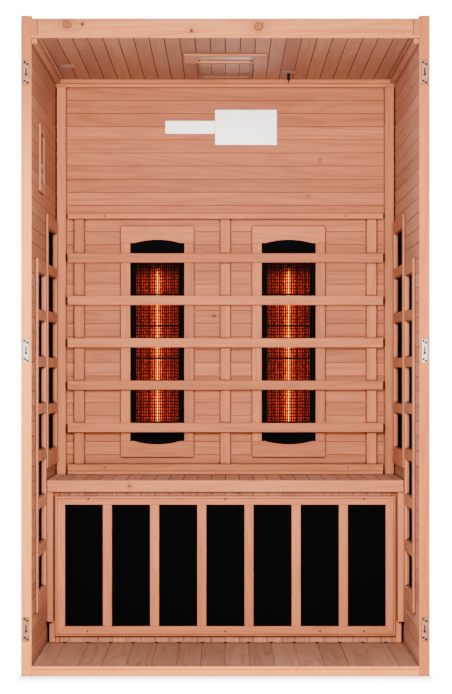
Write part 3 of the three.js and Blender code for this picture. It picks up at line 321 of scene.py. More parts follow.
def end_blocks(tree, split, board, mask, start, reach, tones):
    """Upright blocks beyond a place on X, to the left and right, each with a joint line."""
    out_x = math_node(tree, "ABSOLUTE", split["X"])
    beyond = math_node(tree, "MULTIPLY", mask, math_node(tree, "GREATER_THAN", out_x, start))
    joint = smooth_step(tree, off_from(tree, out_x, start), *reach, 0.7, 0.0)
    joint = math_node(tree, "MULTIPLY", mask, joint)
    board["Grain"] = mix(tree, beyond, board["Grain"], axis_socket(tree, "Z"))
    board["Light"] = mix(tree, beyond, board["Light"], tones[0])
    board["Dark"] = mix(tree, beyond, board["Dark"], tones[1])
    board["Board"] = math_node(tree, "ADD", board["Board"], beyond)
    board["Groove"] = math_node(tree, "MAXIMUM", board["Groove"], joint)


def level_seam(tree, split, board, mask, height, reach):
    """A joint between two layers, seen where the mask is."""
    joint = smooth_step(tree, off_from(tree, split["Z"], height), *reach, 0.6, 0.0)
    joint = math_node(tree, "MULTIPLY", mask, joint)
    board["Groove"] = math_node(tree, "MAXIMUM", board["Groove"], joint)


def foot_gap_shade(tree, split, board, pitch, half, top, reach):
    """Painted shade at a board's foot: dark gaps over the grooves below it, and a line along the foot."""
    low = math_node(tree, "LESS_THAN", split["Z"], top)
    from_notch = math_node(tree, "PINGPONG", split["X"], pitch / 2)
    gap = math_node(tree, "MULTIPLY", low, math_node(tree, "LESS_THAN", from_notch, half))
    foot_line = smooth_step(tree, split["Z"], top - reach[1], top - reach[0], 0.8, 0.0)
    gap = math_node(tree, "MAXIMUM", gap, foot_line)
    board["Groove"] = math_node(tree, "MAXIMUM", board["Groove"], gap)


def wood(name, grain=None, across=None, pitch=1.0, start=0.0, tones=BACK_TONES, line=1.0, corner_shade=1.0,
         knots=(), front=None, front_tones=EDGE_TONES, upper_tones=None, blocks=None, seam=None,
         foot_shade=None):
    """Boards of one pitch, or with no grain axis, planks that carry their grain and number.
    Line says how dark the dust is in the grooves, and the corner argument how strong the painted shade is in
    each corner."""
    material, tree, shader = new_material(name)
    split = object_place(tree)[1]
    board = {"Light": tones[0], "Dark": tones[1], "Groove": 0.0}
    plain_face = 1.0
    mask = 1.0
    if grain:
        offset = math_node(tree, "SUBTRACT", split[across], start)
        from_groove = math_node(tree, "PINGPONG", offset, pitch / 2)
        plain_face = smooth_step(tree, from_groove, *PLAIN_REACH, 0.4, 1.0)
        board["Grain"] = axis_socket(tree, grain)
        board["Board"] = math_node(tree, "FLOOR", math_node(tree, "DIVIDE", offset, pitch))
        board["Groove"] = smooth_step(tree, from_groove, *GROOVE_REACH, line, 0.0)
    else:
        board["Grain"] = shader_node(tree, "ShaderNodeAttribute", attribute_name="grain").outputs["Vector"]
        board["Board"] = shader_node(tree, "ShaderNodeAttribute", attribute_name="board").outputs["Fac"]
    if front:
        mask = front_member(tree, split, board, front, front_tones, upper_tones)
    if blocks:
        end_blocks(tree, split, board, mask, *blocks)
    if seam:
        level_seam(tree, split, board, mask, *seam)
    if foot_shade:
        foot_gap_shade(tree, split, board, *foot_shade)
    groove = board.pop("Groove")
    drawn = shader_node(tree, "ShaderNodeGroup", node_tree=GRAIN, inputs=board).outputs
    colour = drawn["Color"]
    for centre, radius, squash, tint in knots:
        knot = shader_node(tree, "ShaderNodeGroup", node_tree=KNOT,
                           inputs={"Centre": centre, "Radius": (radius, radius, radius * squash)})
        colour = mix(tree, knot.outputs["Mask"], colour, tint)
    colour = mix(tree, groove, colour, JOINT_AND_SHADE_COLOUR)
    # Painted shade: the colour is darkened towards the joint colour in corners and crevices, where ambient
    # occlusion finds little open air.
    open_air = shader_node(tree, "ShaderNodeAmbientOcclusion", samples=6,
                           inputs={"Distance": CORNER_SHADE_REACH}).outputs["AO"]
    corner = math_node(tree, "MULTIPLY", plain_face, smooth_step(tree, open_air, *CORNER_SHADE_OPEN, corner_shade, 0.0))
    colour = mix(tree, corner, colour, JOINT_AND_SHADE_COLOUR)
    bump = shader_node(tree, "ShaderNodeBump", inputs={
        "Strength": 0.25, "Distance": 0.6 * MM, "Height": drawn["Height"]})
    tree.links.new(colour, shader.inputs["Base Color"])
    tree.links.new(drawn["Roughness"], shader.inputs["Roughness"])
    tree.links.new(bump.outputs["Normal"], shader.inputs["Normal"])
    shader.inputs["Specular IOR Level"].default_value = 0.12
    return material


def paint(material, *names):
    for name in names:
        nodes[name].data.materials.clear()
        nodes[name].data.materials.append(material)


for side, side_tones, edge_tones in (
    ("left", SIDE_TONES, EDGE_TONES),
    ("right", LIT_RIGHT_SIDE_TONES, RIGHT_EDGE_TONES),
):
    edge = {"front": "Z", "front_tones": edge_tones, "upper_tones": UPPER_EDGE_TONES}
    lining = wood(f"{side}_lining", "Y", "Z", LINING_PITCH, LINING_START, side_tones, line=0.5, **edge)
    shell = wood(f"{side}_shell", "Y", "Z", OUTER_PITCH, **edge)
    paint(lining, f"{side}_wall_lining")
    paint(shell, f"{side}_wall_shell")
back_lining = wood("back_lining", "X", "Z", LINING_PITCH, LINING_START, line=0.15, knots=BACK_KNOTS)
paint(back_lining, "back_wall_lining")
paint(wood("back_shell", "X", "Z", OUTER_PITCH), "back_wall_shell")
wiring_cover = wood("wiring_cover", "Y", "Z", start=WHOLE_BOARD, tones=SIDE_TONES)
paint(wiring_cover, "left_wiring_cover", "right_wiring_cover")

# Roof, ceiling and floor: softwood boards from front to back, nailed across their frames.
# A knotty rail closes the roof at the front, between two upright end blocks. The floor boards are
# wider than those of the ceiling, and end in a nosing of two layers.
BOARD_PITCH = 45 * MM
FLOOR_PITCH = 73 * MM
BLOCK_START = 551.7 * MM
BLOCK_JOINT = (0.6 * MM, 2.2 * MM)
NOSING_SEAM = 19 * MM
NOSING_JOINT = (0.5 * MM, 2 * MM)
RAIL_TONES = ((0.66, 0.222, 0.077, 1), (0.43, 0.121, 0.038, 1))
BLOCK_TONES = ((0.52, 0.168, 0.063, 1), (0.40, 0.118, 0.042, 1))
LEVEL_TONES = ((0.40, 0.178, 0.108, 1), (0.27, 0.107, 0.060, 1))
FLOOR_TONES = ((0.40, 0.195, 0.128, 1), (0.27, 0.118, 0.073, 1))
ROOF_KNOTS = (
    ((-0.465, FRONT_FACE, 1.912), 26 * MM, 0.85, KNOT_BROWN),
    ((-0.420, FRONT_FACE, 1.912), 7 * MM, 1.0, KNOT_BLACK),
    ((-0.099, FRONT_FACE, 1.894), 8 * MM, 1.0, KNOT_BLACK),
    ((0.097, FRONT_FACE, 1.907), 28 * MM, 0.85, KNOT_BROWN),
)
roof_rail = wood("roof_rail", "X", "Z", start=WHOLE_BOARD, knots=ROOF_KNOTS, front="X",
                 front_tones=RAIL_TONES, blocks=(BLOCK_START, BLOCK_JOINT, BLOCK_TONES))
ceiling = wood("ceiling", "Y", "X", BOARD_PITCH, tones=LEVEL_TONES, corner_shade=0.5,
               front="X", front_tones=RAIL_TONES)
floor = wood("floor", "Y", "X", FLOOR_PITCH, tones=FLOOR_TONES, line=0.1, corner_shade=0.4,
             front="X", seam=(NOSING_SEAM, NOSING_JOINT))
paint(roof_rail, "roof_panel")
paint(ceiling, "ceiling_boards")
paint(floor, "floor_panel")

# Bench: softwood seat boards on a carcass of kick boards, posts and ledgers, with a fascia nailed
# over the front edge of the seat. The posts are paler than the kick boards between them, which
# leave small gaps over the grooves of the floor. The dark gaps and a dark line along the kick
# boards' foot are painted shade.
POST_START = 530 * MM
NOTCH_HALF = 5.5 * MM
NOTCH_HEIGHT = 5 * MM
FOOT_LINE = (2 * MM, 4 * MM)
FASCIA_START = -0.2
SEAT_TONES = ((0.59, 0.313, 0.207, 1), (0.40, 0.200, 0.125, 1))
KICK_TONES = ((0.66, 0.262, 0.140, 1), (0.46, 0.166, 0.082, 1))
TRIM_TONES = ((0.78, 0.247, 0.103, 1), (0.54, 0.158, 0.063, 1))
FASCIA_KNOTS = (((-0.304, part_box("bench_fascia")[0][1], 0.530), 9 * MM, 1.0, KNOT_BROWN),)
notch_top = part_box("bench_carcass")[0][2] + NOTCH_HEIGHT
kick = wood("kick", "Z", "X", BOARD_PITCH, tones=KICK_TONES, line=0.4,
            blocks=(POST_START, BLOCK_JOINT, TRIM_TONES),
            foot_shade=(FLOOR_PITCH, NOTCH_HALF, notch_top, FOOT_LINE))
paint(wood("seat", "Y", "X", BOARD_PITCH, tones=SEAT_TONES), "bench_seat")
paint(kick, "bench_carcass")
paint(wood("fascia", "X", "Z", start=FASCIA_START, tones=TRIM_TONES, knots=FASCIA_KNOTS), "bench_fascia")

# Ladder frames of the side heaters: planed softwood, two stiles with rails between them, screwed
# over the heating panels. Every plank has eased edges and its own grain, and thin liners cover
# the cut edges of the wall boards inside each window.
SIDE_STILE = 36 * MM
SIDE_BOTTOM_RAIL = 52 * MM
SIDE_RAIL = 30.5 * MM
SIDE_WINDOWS = (("front", 7, 112.5 * MM), ("rear", 5, 118 * MM))
LINER = 1.2 * MM
LINER_EASE = 0.2 * MM
EASE = 0.9 * MM
JOINT = 0.15 * MM
SHARP_ANGLE = 0.6
# The shaded planks are a darker copy of the same wood, for faces that don't look forward: painted shade.
SHADED_PLANK_TONES = ((0.55, 0.225, 0.122, 1), (0.39, 0.145, 0.073, 1))
PLANK = wood("planks", tones=TRIM_TONES)
SHADED_PLANK = wood("shaded_planks", tones=SHADED_PLANK_TONES)


def span(node, axis):
    low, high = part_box(node)
    return low["XYZ".index(axis)], high["XYZ".index(axis)]


def spans(node):
    return [span(node, axis) for axis in "XYZ"]


def start_planks():
    mesh = bmesh.new()
    mesh.verts.layers.float_vector.new("grain")
    mesh.verts.layers.float.new("board")
    return mesh


def mark_plank(mesh, axis, ease):
    """Eases the edges of the plank added last, and stores its grain and the next number on it."""
    grain = mesh.verts.layers.float_vector["grain"]
    board = mesh.verts.layers.float["board"]
    fresh = [vert for vert in mesh.verts if vert[board] == 0.0]
    edges = {edge for vert in fresh for edge in vert.link_edges}
    sharp = [edge for edge in edges if edge.calc_face_angle(0.0) > SHARP_ANGLE]
    bmesh.ops.bevel(mesh, geom=sharp, offset=ease, segments=2, profile=0.5, affect="EDGES")
    number = max((vert[board] for vert in mesh.verts), default=0.0) + 1.0
    for vert in mesh.verts:
        if vert[board] == 0.0:
            vert[board] = number
            vert[grain] = AXES[axis]


def add_box(mesh, x, y, z, axis, ease=EASE):
    low = Vector((x[0], y[0], z[0]))
    high = Vector((x[1], y[1], z[1]))
    place = Matrix.LocRotScale((low + high) / 2, None, high - low)
    bmesh.ops.create_cube(mesh, size=1.0, matrix=place)
    mark_plank(mesh, axis, ease)


def add_liner(mesh, x, y, z):
    for edge in (y[0], y[1] - LINER):
        add_box(mesh, x, (edge, edge + LINER), z, "Z", LINER_EASE)
    for edge in (z[0], z[1] - LINER):
        add_box(mesh, x, (y[0] + LINER, y[1] - LINER), (edge, edge + LINER), "Y", LINER_EASE)


def finish_piece(mesh, name, material, slot, *replaced, lit_front_material=None):
    """Makes the mesh a piece of the cabin; faces that look forward may get a paler copy, as painted light.
    """
    data = bpy.data.meshes.new(name)
    mesh.to_mesh(data)
    mesh.free()
    data.materials.append(material)
    if lit_front_material:
        data.materials.append(lit_front_material)
        for face in data.polygons:
            face.material_index = int(face.normal.y < -0.5)
    piece = bpy.data.objects.new(name, data)
    bpy.context.scene.collection.objects.link(piece)
    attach(piece, "cabin")
    if replaced:
        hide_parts(*replaced)


for side in ("left", "right"):
    reveal = span(f"{side}_wall_lining", "X")
    for place, count, window in SIDE_WINDOWS:
        node = f"{side}_{place}_heater_frame"
        x, y, z = spans(node)
        ladder = start_planks()
        add_box(ladder, x, (y[0], y[0] + SIDE_STILE), z, "Z")
        add_box(ladder, x, (y[1] - SIDE_STILE, y[1]), z, "Z")
        between = (y[0] + SIDE_STILE + JOINT, y[1] - SIDE_STILE - JOINT)
        rail_start = z[0]
        for index in range(count + 1):
            window_start = z[0] + SIDE_BOTTOM_RAIL + index * (window + SIDE_RAIL)
            rail_end = z[1] if index == count else window_start
            add_box(ladder, x, between, (rail_start, rail_end), "Y")
            rail_start = window_start + window
            if index < count:
                add_liner(ladder, reveal, between, (window_start, rail_start))
        # Faces that look forward get the paler planks, the others the darker copy: painted light and shade.
        finish_piece(ladder, f"{node}_planks", SHADED_PLANK, "hemlock_trim", node, lit_front_material=PLANK)

# Frame of the bench heater: planed softwood, mitred members inside a thinner lip, with upright
# dividers between the rails, screwed to the bench's carcass over the heating panel.
BENCH_MEMBER = 31 * MM
BENCH_TOP_MEMBER = 26 * MM
BENCH_DIVIDER = 28.5 * MM
BENCH_DIVIDERS = 6
BENCH_PITCH = 150 * MM
PANEL_LAP = 1 * MM
LIP = 7 * MM
LIP_STEP = 3 * MM


def add_prism(mesh, outline, y, axis, ease=EASE):
    """A plank with the given outline in X and Z, between two places on Y."""
    front = [mesh.verts.new((px, y[0], pz)) for px, pz in outline]
    face = mesh.faces.new(front)
    made = bmesh.ops.extrude_face_region(mesh, geom=[face])
    moved = [item for item in made["geom"] if isinstance(item, bmesh.types.BMVert)]
    bmesh.ops.translate(mesh, vec=(0, y[1] - y[0], 0), verts=moved)
    mesh.normal_update()
    bmesh.ops.recalc_face_normals(mesh, faces=mesh.faces)
    mark_plank(mesh, axis, ease)


def add_mitred(mesh, outer_x, outer_z, inner_x, inner_z, y):
    for side in (0, 1):
        add_prism(mesh, [(outer_x[0], outer_z[side]), (outer_x[1], outer_z[side]),
                         (inner_x[1], inner_z[side]), (inner_x[0], inner_z[side])], y, "X")
        add_prism(mesh, [(outer_x[side], outer_z[0]), (inner_x[side], inner_z[0]),
                         (inner_x[side], inner_z[1]), (outer_x[side], outer_z[1])], y, "Z")


x, y, z = spans("bench_heater_frame")
panel_top = span("bench_heater_panel", "Z")[1]
lip_x = (x[0] + LIP, x[1] - LIP)
lip_z = (z[0] + LIP, z[1] - LIP)
inner_x = (x[0] + BENCH_MEMBER, x[1] - BENCH_MEMBER)
inner_z = (z[0] + BENCH_MEMBER, min(z[1] - BENCH_TOP_MEMBER, panel_top - PANEL_LAP))
bench_frame = start_planks()
add_mitred(bench_frame, x, z, lip_x, lip_z, (y[0] + LIP_STEP, y[1]))
add_mitred(bench_frame, lip_x, lip_z, inner_x, inner_z, y)
for index in range(BENCH_DIVIDERS):
    middle = (x[0] + x[1]) / 2 + (index - (BENCH_DIVIDERS - 1) / 2) * BENCH_PITCH
    add_box(bench_frame, (middle - BENCH_DIVIDER / 2, middle + BENCH_DIVIDER / 2), y, inner_z, "Z")
finish_piece(bench_frame, "bench_heater_frame_planks", PLANK, "hemlock_trim", "bench_heater_frame")


# Heating panels: rigid sheets with a matt black carbon film, clamped behind the ladder frames.
# The film has a faint speckle, and hardly any gloss.
def plain(name, colour, roughness, metallic=0.0, speckle=0.06, scale=400.0, bump=0.05, specular=0.3):
    """One colour with fine noise in its tone, roughness and surface."""
    material, tree, shader = new_material(name)
    place = shader_node(tree, "ShaderNodeTexCoord").outputs["Object"]
    noise = shader_node(tree, "ShaderNodeTexNoise",
                        inputs={"Vector": place, "Scale": scale, "Detail": 3.0}).outputs["Fac"]
    dim = tuple(part * (1 - speckle) for part in colour) + (1,)
    bright = tuple(min(1, part * (1 + speckle)) for part in colour) + (1,)
    rough = smooth_step(tree, noise, 0.2, 0.8, roughness - 0.06, roughness + 0.06)
    height = shader_node(tree, "ShaderNodeBump", inputs={
        "Strength": bump, "Distance": 0.4 * MM, "Height": noise})
    tree.links.new(mix(tree, noise, dim, bright), shader.inputs["Base Color"])
    tree.links.new(rough, shader.inputs["Roughness"])
    tree.links.new(height.outputs["Normal"], shader.inputs["Normal"])
    shader.inputs["Metallic"].default_value = metallic
    shader.inputs["Specular IOR Level"].default_value = specular
    return material, tree, shader


carbon = plain("carbon_panel", (0.0022, 0.0022, 0.0023), 0.9, speckle=0.6, bump=0.2, specular=0.0)[0]
paint(carbon, *[name for name in nodes if name.endswith("_heater_panel")])

# Frames of the back heaters: planed softwood, two stiles between a top and a bottom rail, screwed
# to the back wall. The rails' inner edges have a shoulder at each end and a shallow arch between.
ARCH_RISE = 11 * MM
ARCH_SHOULDER = 13 * MM
ARCH_STEPS = 16
ARCH_EASE = 1.2 * MM
OPENING_HALF = 90.25 * MM
LOW_SHOULDER = 53 * MM
HIGH_SHOULDER = 716 * MM
arch_half = OPENING_HALF - ARCH_SHOULDER
arch_radius = (arch_half ** 2 + ARCH_RISE ** 2) / (2 * ARCH_RISE)
arch_sweep = math.asin(arch_half / arch_radius)


def arch_curve(middle, shoulder, up):
    curve = []
    for step in range(ARCH_STEPS + 1):
        angle = -arch_sweep + 2 * arch_sweep * step / ARCH_STEPS
        rise = ARCH_RISE - arch_radius + arch_radius * math.cos(angle)
        curve.append((middle + arch_radius * math.sin(angle), shoulder + up * rise))
    return curve


for side in ("left", "right"):
    node = f"back_heater_frame_{side}"
    x, y, z = spans(node)
    middle = (x[0] + x[1]) / 2
    opening = (middle - OPENING_HALF, middle + OPENING_HALF)
    low = z[0] + LOW_SHOULDER
    high = z[0] + HIGH_SHOULDER
    arched = start_planks()
    for outer, shoulder, up in ((z[0], low, -1), (z[1], high, 1)):
        outline = [(x[0], outer), (x[0], shoulder), (opening[0], shoulder)]
        outline += arch_curve(middle, shoulder, up)
        outline += [(opening[1], shoulder), (x[1], shoulder), (x[1], outer)]
        add_prism(arched, outline, y, "X", ARCH_EASE)
    for stile in ((x[0], opening[0]), (opening[1], x[1])):
        add_box(arched, stile, y, (low + JOINT, high - JOINT), "Z", ARCH_EASE)
    finish_piece(arched, f"{node}_planks", PLANK, "hemlock_trim", node)

# Reflectors and emitters of the back heaters: a trough of pressed aluminium with a black flange,
# and a quartz tube with a glowing filament between ceramic caps. The trough carries a painted
# reflection of the filament's red light as emission, brightest beside the filament, with painted
# reflections of the guard's wires as darker lines.
TROUGH_HALF_WIDTH = 70 * MM
TROUGH_HALF_HEIGHT = 269 * MM
TROUGH_FADE = (210 * MM, 255 * MM)
TUBE_TOP = 249.6 * MM
TUBE_FADE = (225 * MM, 245 * MM)
FILAMENT_REACH = (1.0 * MM, 2.8 * MM)
FILAMENT_POWER = 5.0
TUBE_POWER = 2.6
REFLECTED_GLOW_POWER = (1.8, 6.3)
WIRE_REFLECTION_REACH = (0.6 * MM, 2.2 * MM)
UPRIGHT_WIRE_REFLECTIONS = (9.4 * MM, 0.2)
LEVEL_WIRE_REFLECTIONS = (11.8 * MM, 0.75)
TUBE_COLOUR = (1.0, 0.11, 0.006, 1)
FILAMENT_COLOUR = (1.0, 0.29, 0.016, 1)
REFLECTED_GLOW_COLOURS = (
    (0.00, (1.00, 0.090, 0.006, 1)),
    (0.10, (0.85, 0.066, 0.004, 1)),
    (0.22, (0.50, 0.026, 0.005, 1)),
    (0.40, (0.25, 0.014, 0.006, 1)),
    (0.75, (0.21, 0.012, 0.006, 1)),
    (1.00, (0.13, 0.008, 0.005, 1)),
)


def painted_reflection_finish(name, middle_x, middle_z):
    material, tree, shader = plain(name, (0.001, 0.001, 0.001), 0.6, specular=0.02)
    place, split = object_place(tree)
    off_x = off_from(tree, split["X"], middle_x)
    up_z = math_node(tree, "SUBTRACT", split["Z"], middle_z)
    ramp = shader_node(tree, "ShaderNodeValToRGB",
                       inputs={"Fac": math_node(tree, "DIVIDE", off_x, TROUGH_HALF_WIDTH)})
    stops = ramp.color_ramp.elements
    stops[0].color = REFLECTED_GLOW_COLOURS[0][1]
    stops[1].color = REFLECTED_GLOW_COLOURS[-1][1]
    for position, colour in REFLECTED_GLOW_COLOURS[1:-1]:
        stops.new(position).color = colour
    # Painted reflection: the trough is given emission where the filament's light is reflected, with darker
    # lines where the guard's wires are reflected.
    beside = math_node(tree, "LESS_THAN", off_x, TROUGH_HALF_WIDTH)
    within = math_node(tree, "LESS_THAN", math_node(tree, "ABSOLUTE", up_z), TROUGH_HALF_HEIGHT)
    reflected_glow = math_node(tree, "MULTIPLY", beside, within)
    reflected_glow = math_node(tree, "MULTIPLY", reflected_glow, smooth_step(tree, up_z, *TROUGH_FADE, 1.0, 0.10))
    for along, (pitch, dip) in ((off_x, UPRIGHT_WIRE_REFLECTIONS), (up_z, LEVEL_WIRE_REFLECTIONS)):
        from_wire = math_node(tree, "PINGPONG", along, pitch / 2)
        reflected_glow = math_node(tree, "MULTIPLY", reflected_glow, smooth_step(tree, from_wire, *WIRE_REFLECTION_REACH, dip, 1.0))
    mottle = shader_node(tree, "ShaderNodeTexNoise",
                         inputs={"Vector": place, "Scale": 160.0, "Detail": 2.0}).outputs["Fac"]
    reflected_glow = math_node(tree, "MULTIPLY", reflected_glow, smooth_step(tree, mottle, 0.3, 0.7, *REFLECTED_GLOW_POWER))
    tree.links.new(ramp.outputs["Color"], shader.inputs["Emission Color"])
    tree.links.new(reflected_glow, shader.inputs["Emission Strength"])
    return material


def emitter_finish(name, middle_x, middle_z):
    material, tree, shader = plain(name, (0.012, 0.007, 0.005), 0.6, specular=0.05)
    split = object_place(tree)[1]
    up_z = math_node(tree, "SUBTRACT", split["Z"], middle_z)
    tube = math_node(tree, "LESS_THAN", up_z, TUBE_TOP)
    strength = math_node(tree, "MULTIPLY", tube, smooth_step(tree, up_z, *TUBE_FADE, 1.0, 0.06))
    filament = smooth_step(tree, off_from(tree, split["X"], middle_x), *FILAMENT_REACH, 1.0, 0.0)
    power = math_node(tree, "ADD", math_node(tree, "MULTIPLY", filament, FILAMENT_POWER), TUBE_POWER)
    tree.links.new(mix(tree, filament, TUBE_COLOUR, FILAMENT_COLOUR), shader.inputs["Emission Color"])
    tree.links.new(math_node(tree, "MULTIPLY", strength, power), shader.inputs["Emission Strength"])
    return material


for side in ("left", "right"):
    x, y, z = spans(f"back_heater_reflector_{side}")
    middle = ((x[0] + x[1]) / 2, (z[0] + z[1]) / 2)
    paint(painted_reflection_finish(f"reflector_{side}", *middle), f"back_heater_reflector_{side}")
    paint(emitter_finish(f"emitter_{side}", *middle), f"back_heater_emitter_{side}")

# Wire guards of the back heaters: black stoved steel wires, welded into a net at their real
# spacing, with a heavier bar across at wider steps. They clip on in front of the reflectors.
GUARD_COLUMNS = 21.5
ROW_PITCH = 10.2 * MM
COLUMN_RADIUS = 1.9 * MM
ROW_RADIUS = 1.4 * MM
BAR_PITCH = 107 * MM
BAR_RADIUS = 2.4 * MM
WIRE_SIDES = 6
NET_SETBACK = 1 * MM


def start_tree(name, **inputs):
    """A geometry node tree with its inputs, which are listed by kind, and their sockets."""
    tree = bpy.data.node_groups.new(name, "GeometryNodeTree")
    tree.interface.new_socket("Geometry", in_out="OUTPUT", socket_type="NodeSocketGeometry")
    for kind, labels in inputs.items():
        for label in labels:
            tree.interface.new_socket(label, in_out="INPUT", socket_type=f"NodeSocket{kind}")
    return tree, tree.nodes.new("NodeGroupInput").outputs


def end_tree(tree, geometry, material):
    real = shader_node(tree, "GeometryNodeRealizeInstances", inputs={0: geometry})
    coated = shader_node(tree, "GeometryNodeSetMaterial", inputs={
        "Geometry": real.outputs[0], "Material": material})
    tree.links.new(coated.outputs[0], tree.nodes.new("NodeGroupOutput").inputs[0])


def wire_net_group():
    sizes = ("Width", "Height", "Column Pitch", "Row Pitch", "Column", "Row", "Bar Pitch", "Bar")
    tree, given = start_tree("wire_net", Float=sizes, Vector=["Place"], Material=["Material"])
    both = tree.nodes.new("GeometryNodeJoinGeometry")

    def wires(length, width, pitch, across, turn, radius):
        steps = math_node(tree, "FLOOR", math_node(tree, "DIVIDE", width, pitch))
        start = math_node(tree, "MULTIPLY", math_node(tree, "MULTIPLY", steps, pitch), -0.5)
        first = shader_node(tree, "ShaderNodeCombineXYZ", inputs={across: start})
        step = shader_node(tree, "ShaderNodeCombineXYZ", inputs={across: pitch})
        line = shader_node(tree, "GeometryNodeMeshLine", mode="OFFSET", inputs={
            "Count": math_node(tree, "ADD", steps, 1.0),
            "Start Location": first.outputs[0],
            "Offset": step.outputs[0]})
        wire = shader_node(tree, "GeometryNodeMeshCylinder", inputs={
            "Vertices": WIRE_SIDES, "Radius": radius, "Depth": length})
        made = shader_node(tree, "GeometryNodeInstanceOnPoints", inputs={
            "Points": line.outputs[0], "Instance": wire.outputs[0], "Rotation": turn})
        tree.links.new(made.outputs[0], both.inputs[0])

    level = (0, math.pi / 2, 0)
    wires(given["Width"], given["Height"], given["Row Pitch"], "Z", level, given["Row"])
    wires(given["Width"], given["Height"], given["Bar Pitch"], "Z", level, given["Bar"])
    wires(given["Height"], given["Width"], given["Column Pitch"], "X", (0, 0, 0), given["Column"])
    placed = shader_node(tree, "GeometryNodeTransform", inputs={
        "Geometry": both.outputs[0], "Translation": given["Place"]})
    end_tree(tree, placed.outputs[0], given["Material"])
    return tree


def grown(name, tree, values, points=()):
    """The piece that a geometry node tree makes from these named inputs, as a plain mesh."""
    data = bpy.data.meshes.new(name)
    data.from_pydata(list(points), [], [])
    piece = bpy.data.objects.new(name, data)
    bpy.context.scene.collection.objects.link(piece)
    modifier = piece.modifiers.new("nodes", "NODES")
    modifier.node_group = tree
    for item in tree.interface.items_tree:
        if item.in_out == "INPUT" and item.name in values:
            modifier[item.identifier] = values[item.name]
    piece.update_tag()
    graph = bpy.context.evaluated_depsgraph_get()
    made = bpy.data.meshes.new_from_object(piece.evaluated_get(graph))
    piece.modifiers.clear()
    piece.data = made
    return piece


wire_net = wire_net_group()
black_wire = plain("black_wire", (0.0015, 0.0012, 0.0012), 0.5, specular=0.02)[0]
for side in ("left", "right"):
    node = f"back_heater_guard_{side}"
    x, y, z = spans(node)
    net = grown(f"{node}_net", wire_net, {
        "Width": x[1] - x[0],
        "Height": z[1] - z[0],
        "Column Pitch": (x[1] - x[0]) / GUARD_COLUMNS,
        "Row Pitch": ROW_PITCH,
        "Column": COLUMN_RADIUS,
        "Row": ROW_RADIUS,
        "Bar Pitch": BAR_PITCH,
        "Bar": BAR_RADIUS,
        "Place": ((x[0] + x[1]) / 2, y[0] + NET_SETBACK, (z[0] + z[1]) / 2),
        "Material": black_wire,
    })
    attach(net, "cabin")
    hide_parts(node)

# Backrest: a softwood frame of two rails and three posts on the back wall, with rounded slats
# screwed across it. A skirting strip closes the gap between the bottom rail and the seat. The
# slats keep their solids.
REST_BOTTOM_RAIL = 21 * MM
REST_TOP_RAIL = 17 * MM
REST_POST_WIDTH = 32 * MM
REST_POST_DEPTH = 27 * MM
REST_POST_INSET = 37 * MM
SKIRTING_SETBACK = 4 * MM
SLAT_PITCH = 141.6 * MM
SLAT_START = 635 * MM
SLATS = [f"backrest_slat_{index}" for index in range(1, 6)]
x, y, z = spans("backrest_frame")
seat_top = span("bench_seat", "Z")[1]
post_z = (z[0] + REST_BOTTOM_RAIL + JOINT, z[1] - REST_TOP_RAIL - JOINT)
rest = start_planks()
add_box(rest, x, y, (z[0], z[0] + REST_BOTTOM_RAIL), "X")
add_box(rest, x, (y[0] + SKIRTING_SETBACK, y[1]), (seat_top + JOINT, z[0] - JOINT), "X")
add_box(rest, x, y, (z[1] - REST_TOP_RAIL, z[1]), "X")
for middle in (x[0] + REST_POST_INSET, 0.0, x[1] - REST_POST_INSET):
    post_x = (middle - REST_POST_WIDTH / 2, middle + REST_POST_WIDTH / 2)
    add_box(rest, post_x, (y[1] - REST_POST_DEPTH, y[1]), post_z, "Z")
finish_piece(rest, "backrest_frame_planks", PLANK, "hemlock_trim", "backrest_frame")
paint(wood("slats", "X", "Z", SLAT_PITCH, SLAT_START, TRIM_TONES), *SLATS)

# Dark blocks behind the ends of the backrest's slats, reaching a little past each end: painted
# shadow of the slats on the wall behind, as small blocks of dark plastic.
SHADOW_BLOCK_REACH = 5 * MM
SHADOW_BLOCK_SETBACK = 6 * MM
SHADOW_BLOCK_SHARE = 0.8
slat_shadow_blocks = start_planks()
for slat in SLATS:
    x, y, z = spans(slat)
    half = SHADOW_BLOCK_SHARE * (z[1] - z[0]) / 2
    level = ((z[0] + z[1]) / 2 - half, (z[0] + z[1]) / 2 + half)
    for end in x:
        add_box(slat_shadow_blocks, (end - SHADOW_BLOCK_REACH, end + SHADOW_BLOCK_REACH), (y[0] + SHADOW_BLOCK_SETBACK, y[1]), level, "X")
slat_shadow_dark = plain("slat_shadow_paint", (0.030, 0.011, 0.006), 0.9, specular=0.0)[0]
finish_piece(slat_shadow_blocks, "slat_end_shadows", slat_shadow_dark, "black_plastic")

# Trim of the back wall and ceiling: planed softwood, nailed on. The crown rail is in two bands,
# with the corner stiles below it, and a batten runs along each side under the ceiling.
CROWN_UPPER = 14 * MM
CROWN_HEIGHT = 26 * MM
CROWN_LOWER_DEPTH = 8 * MM
STILE_WIDTH = 29.5 * MM
STILE_DEPTH = 15 * MM
STILE_GAP = 4.7 * MM
BATTEN_EASE = 1.2 * MM
x, y, z = spans("back_wall_surround")
band = z[1] - CROWN_UPPER
underside = z[1] - CROWN_HEIGHT
surround = start_planks()
add_box(surround, x, y, (band, z[1]), "X")
add_box(surround, x, (y[1] - CROWN_LOWER_DEPTH, y[1]), (underside, band), "X")
for edge in (x[0] + STILE_GAP, x[1] - STILE_GAP - STILE_WIDTH):
    add_box(surround, (edge, edge + STILE_WIDTH), (y[1] - STILE_DEPTH, y[1]), (z[0], underside), "Z")
surround_wood = wood("surround", tones=TRIM_TONES, corner_shade=0.5)
finish_piece(surround, "back_wall_surround_planks", surround_wood, "hemlock_trim", "back_wall_surround")
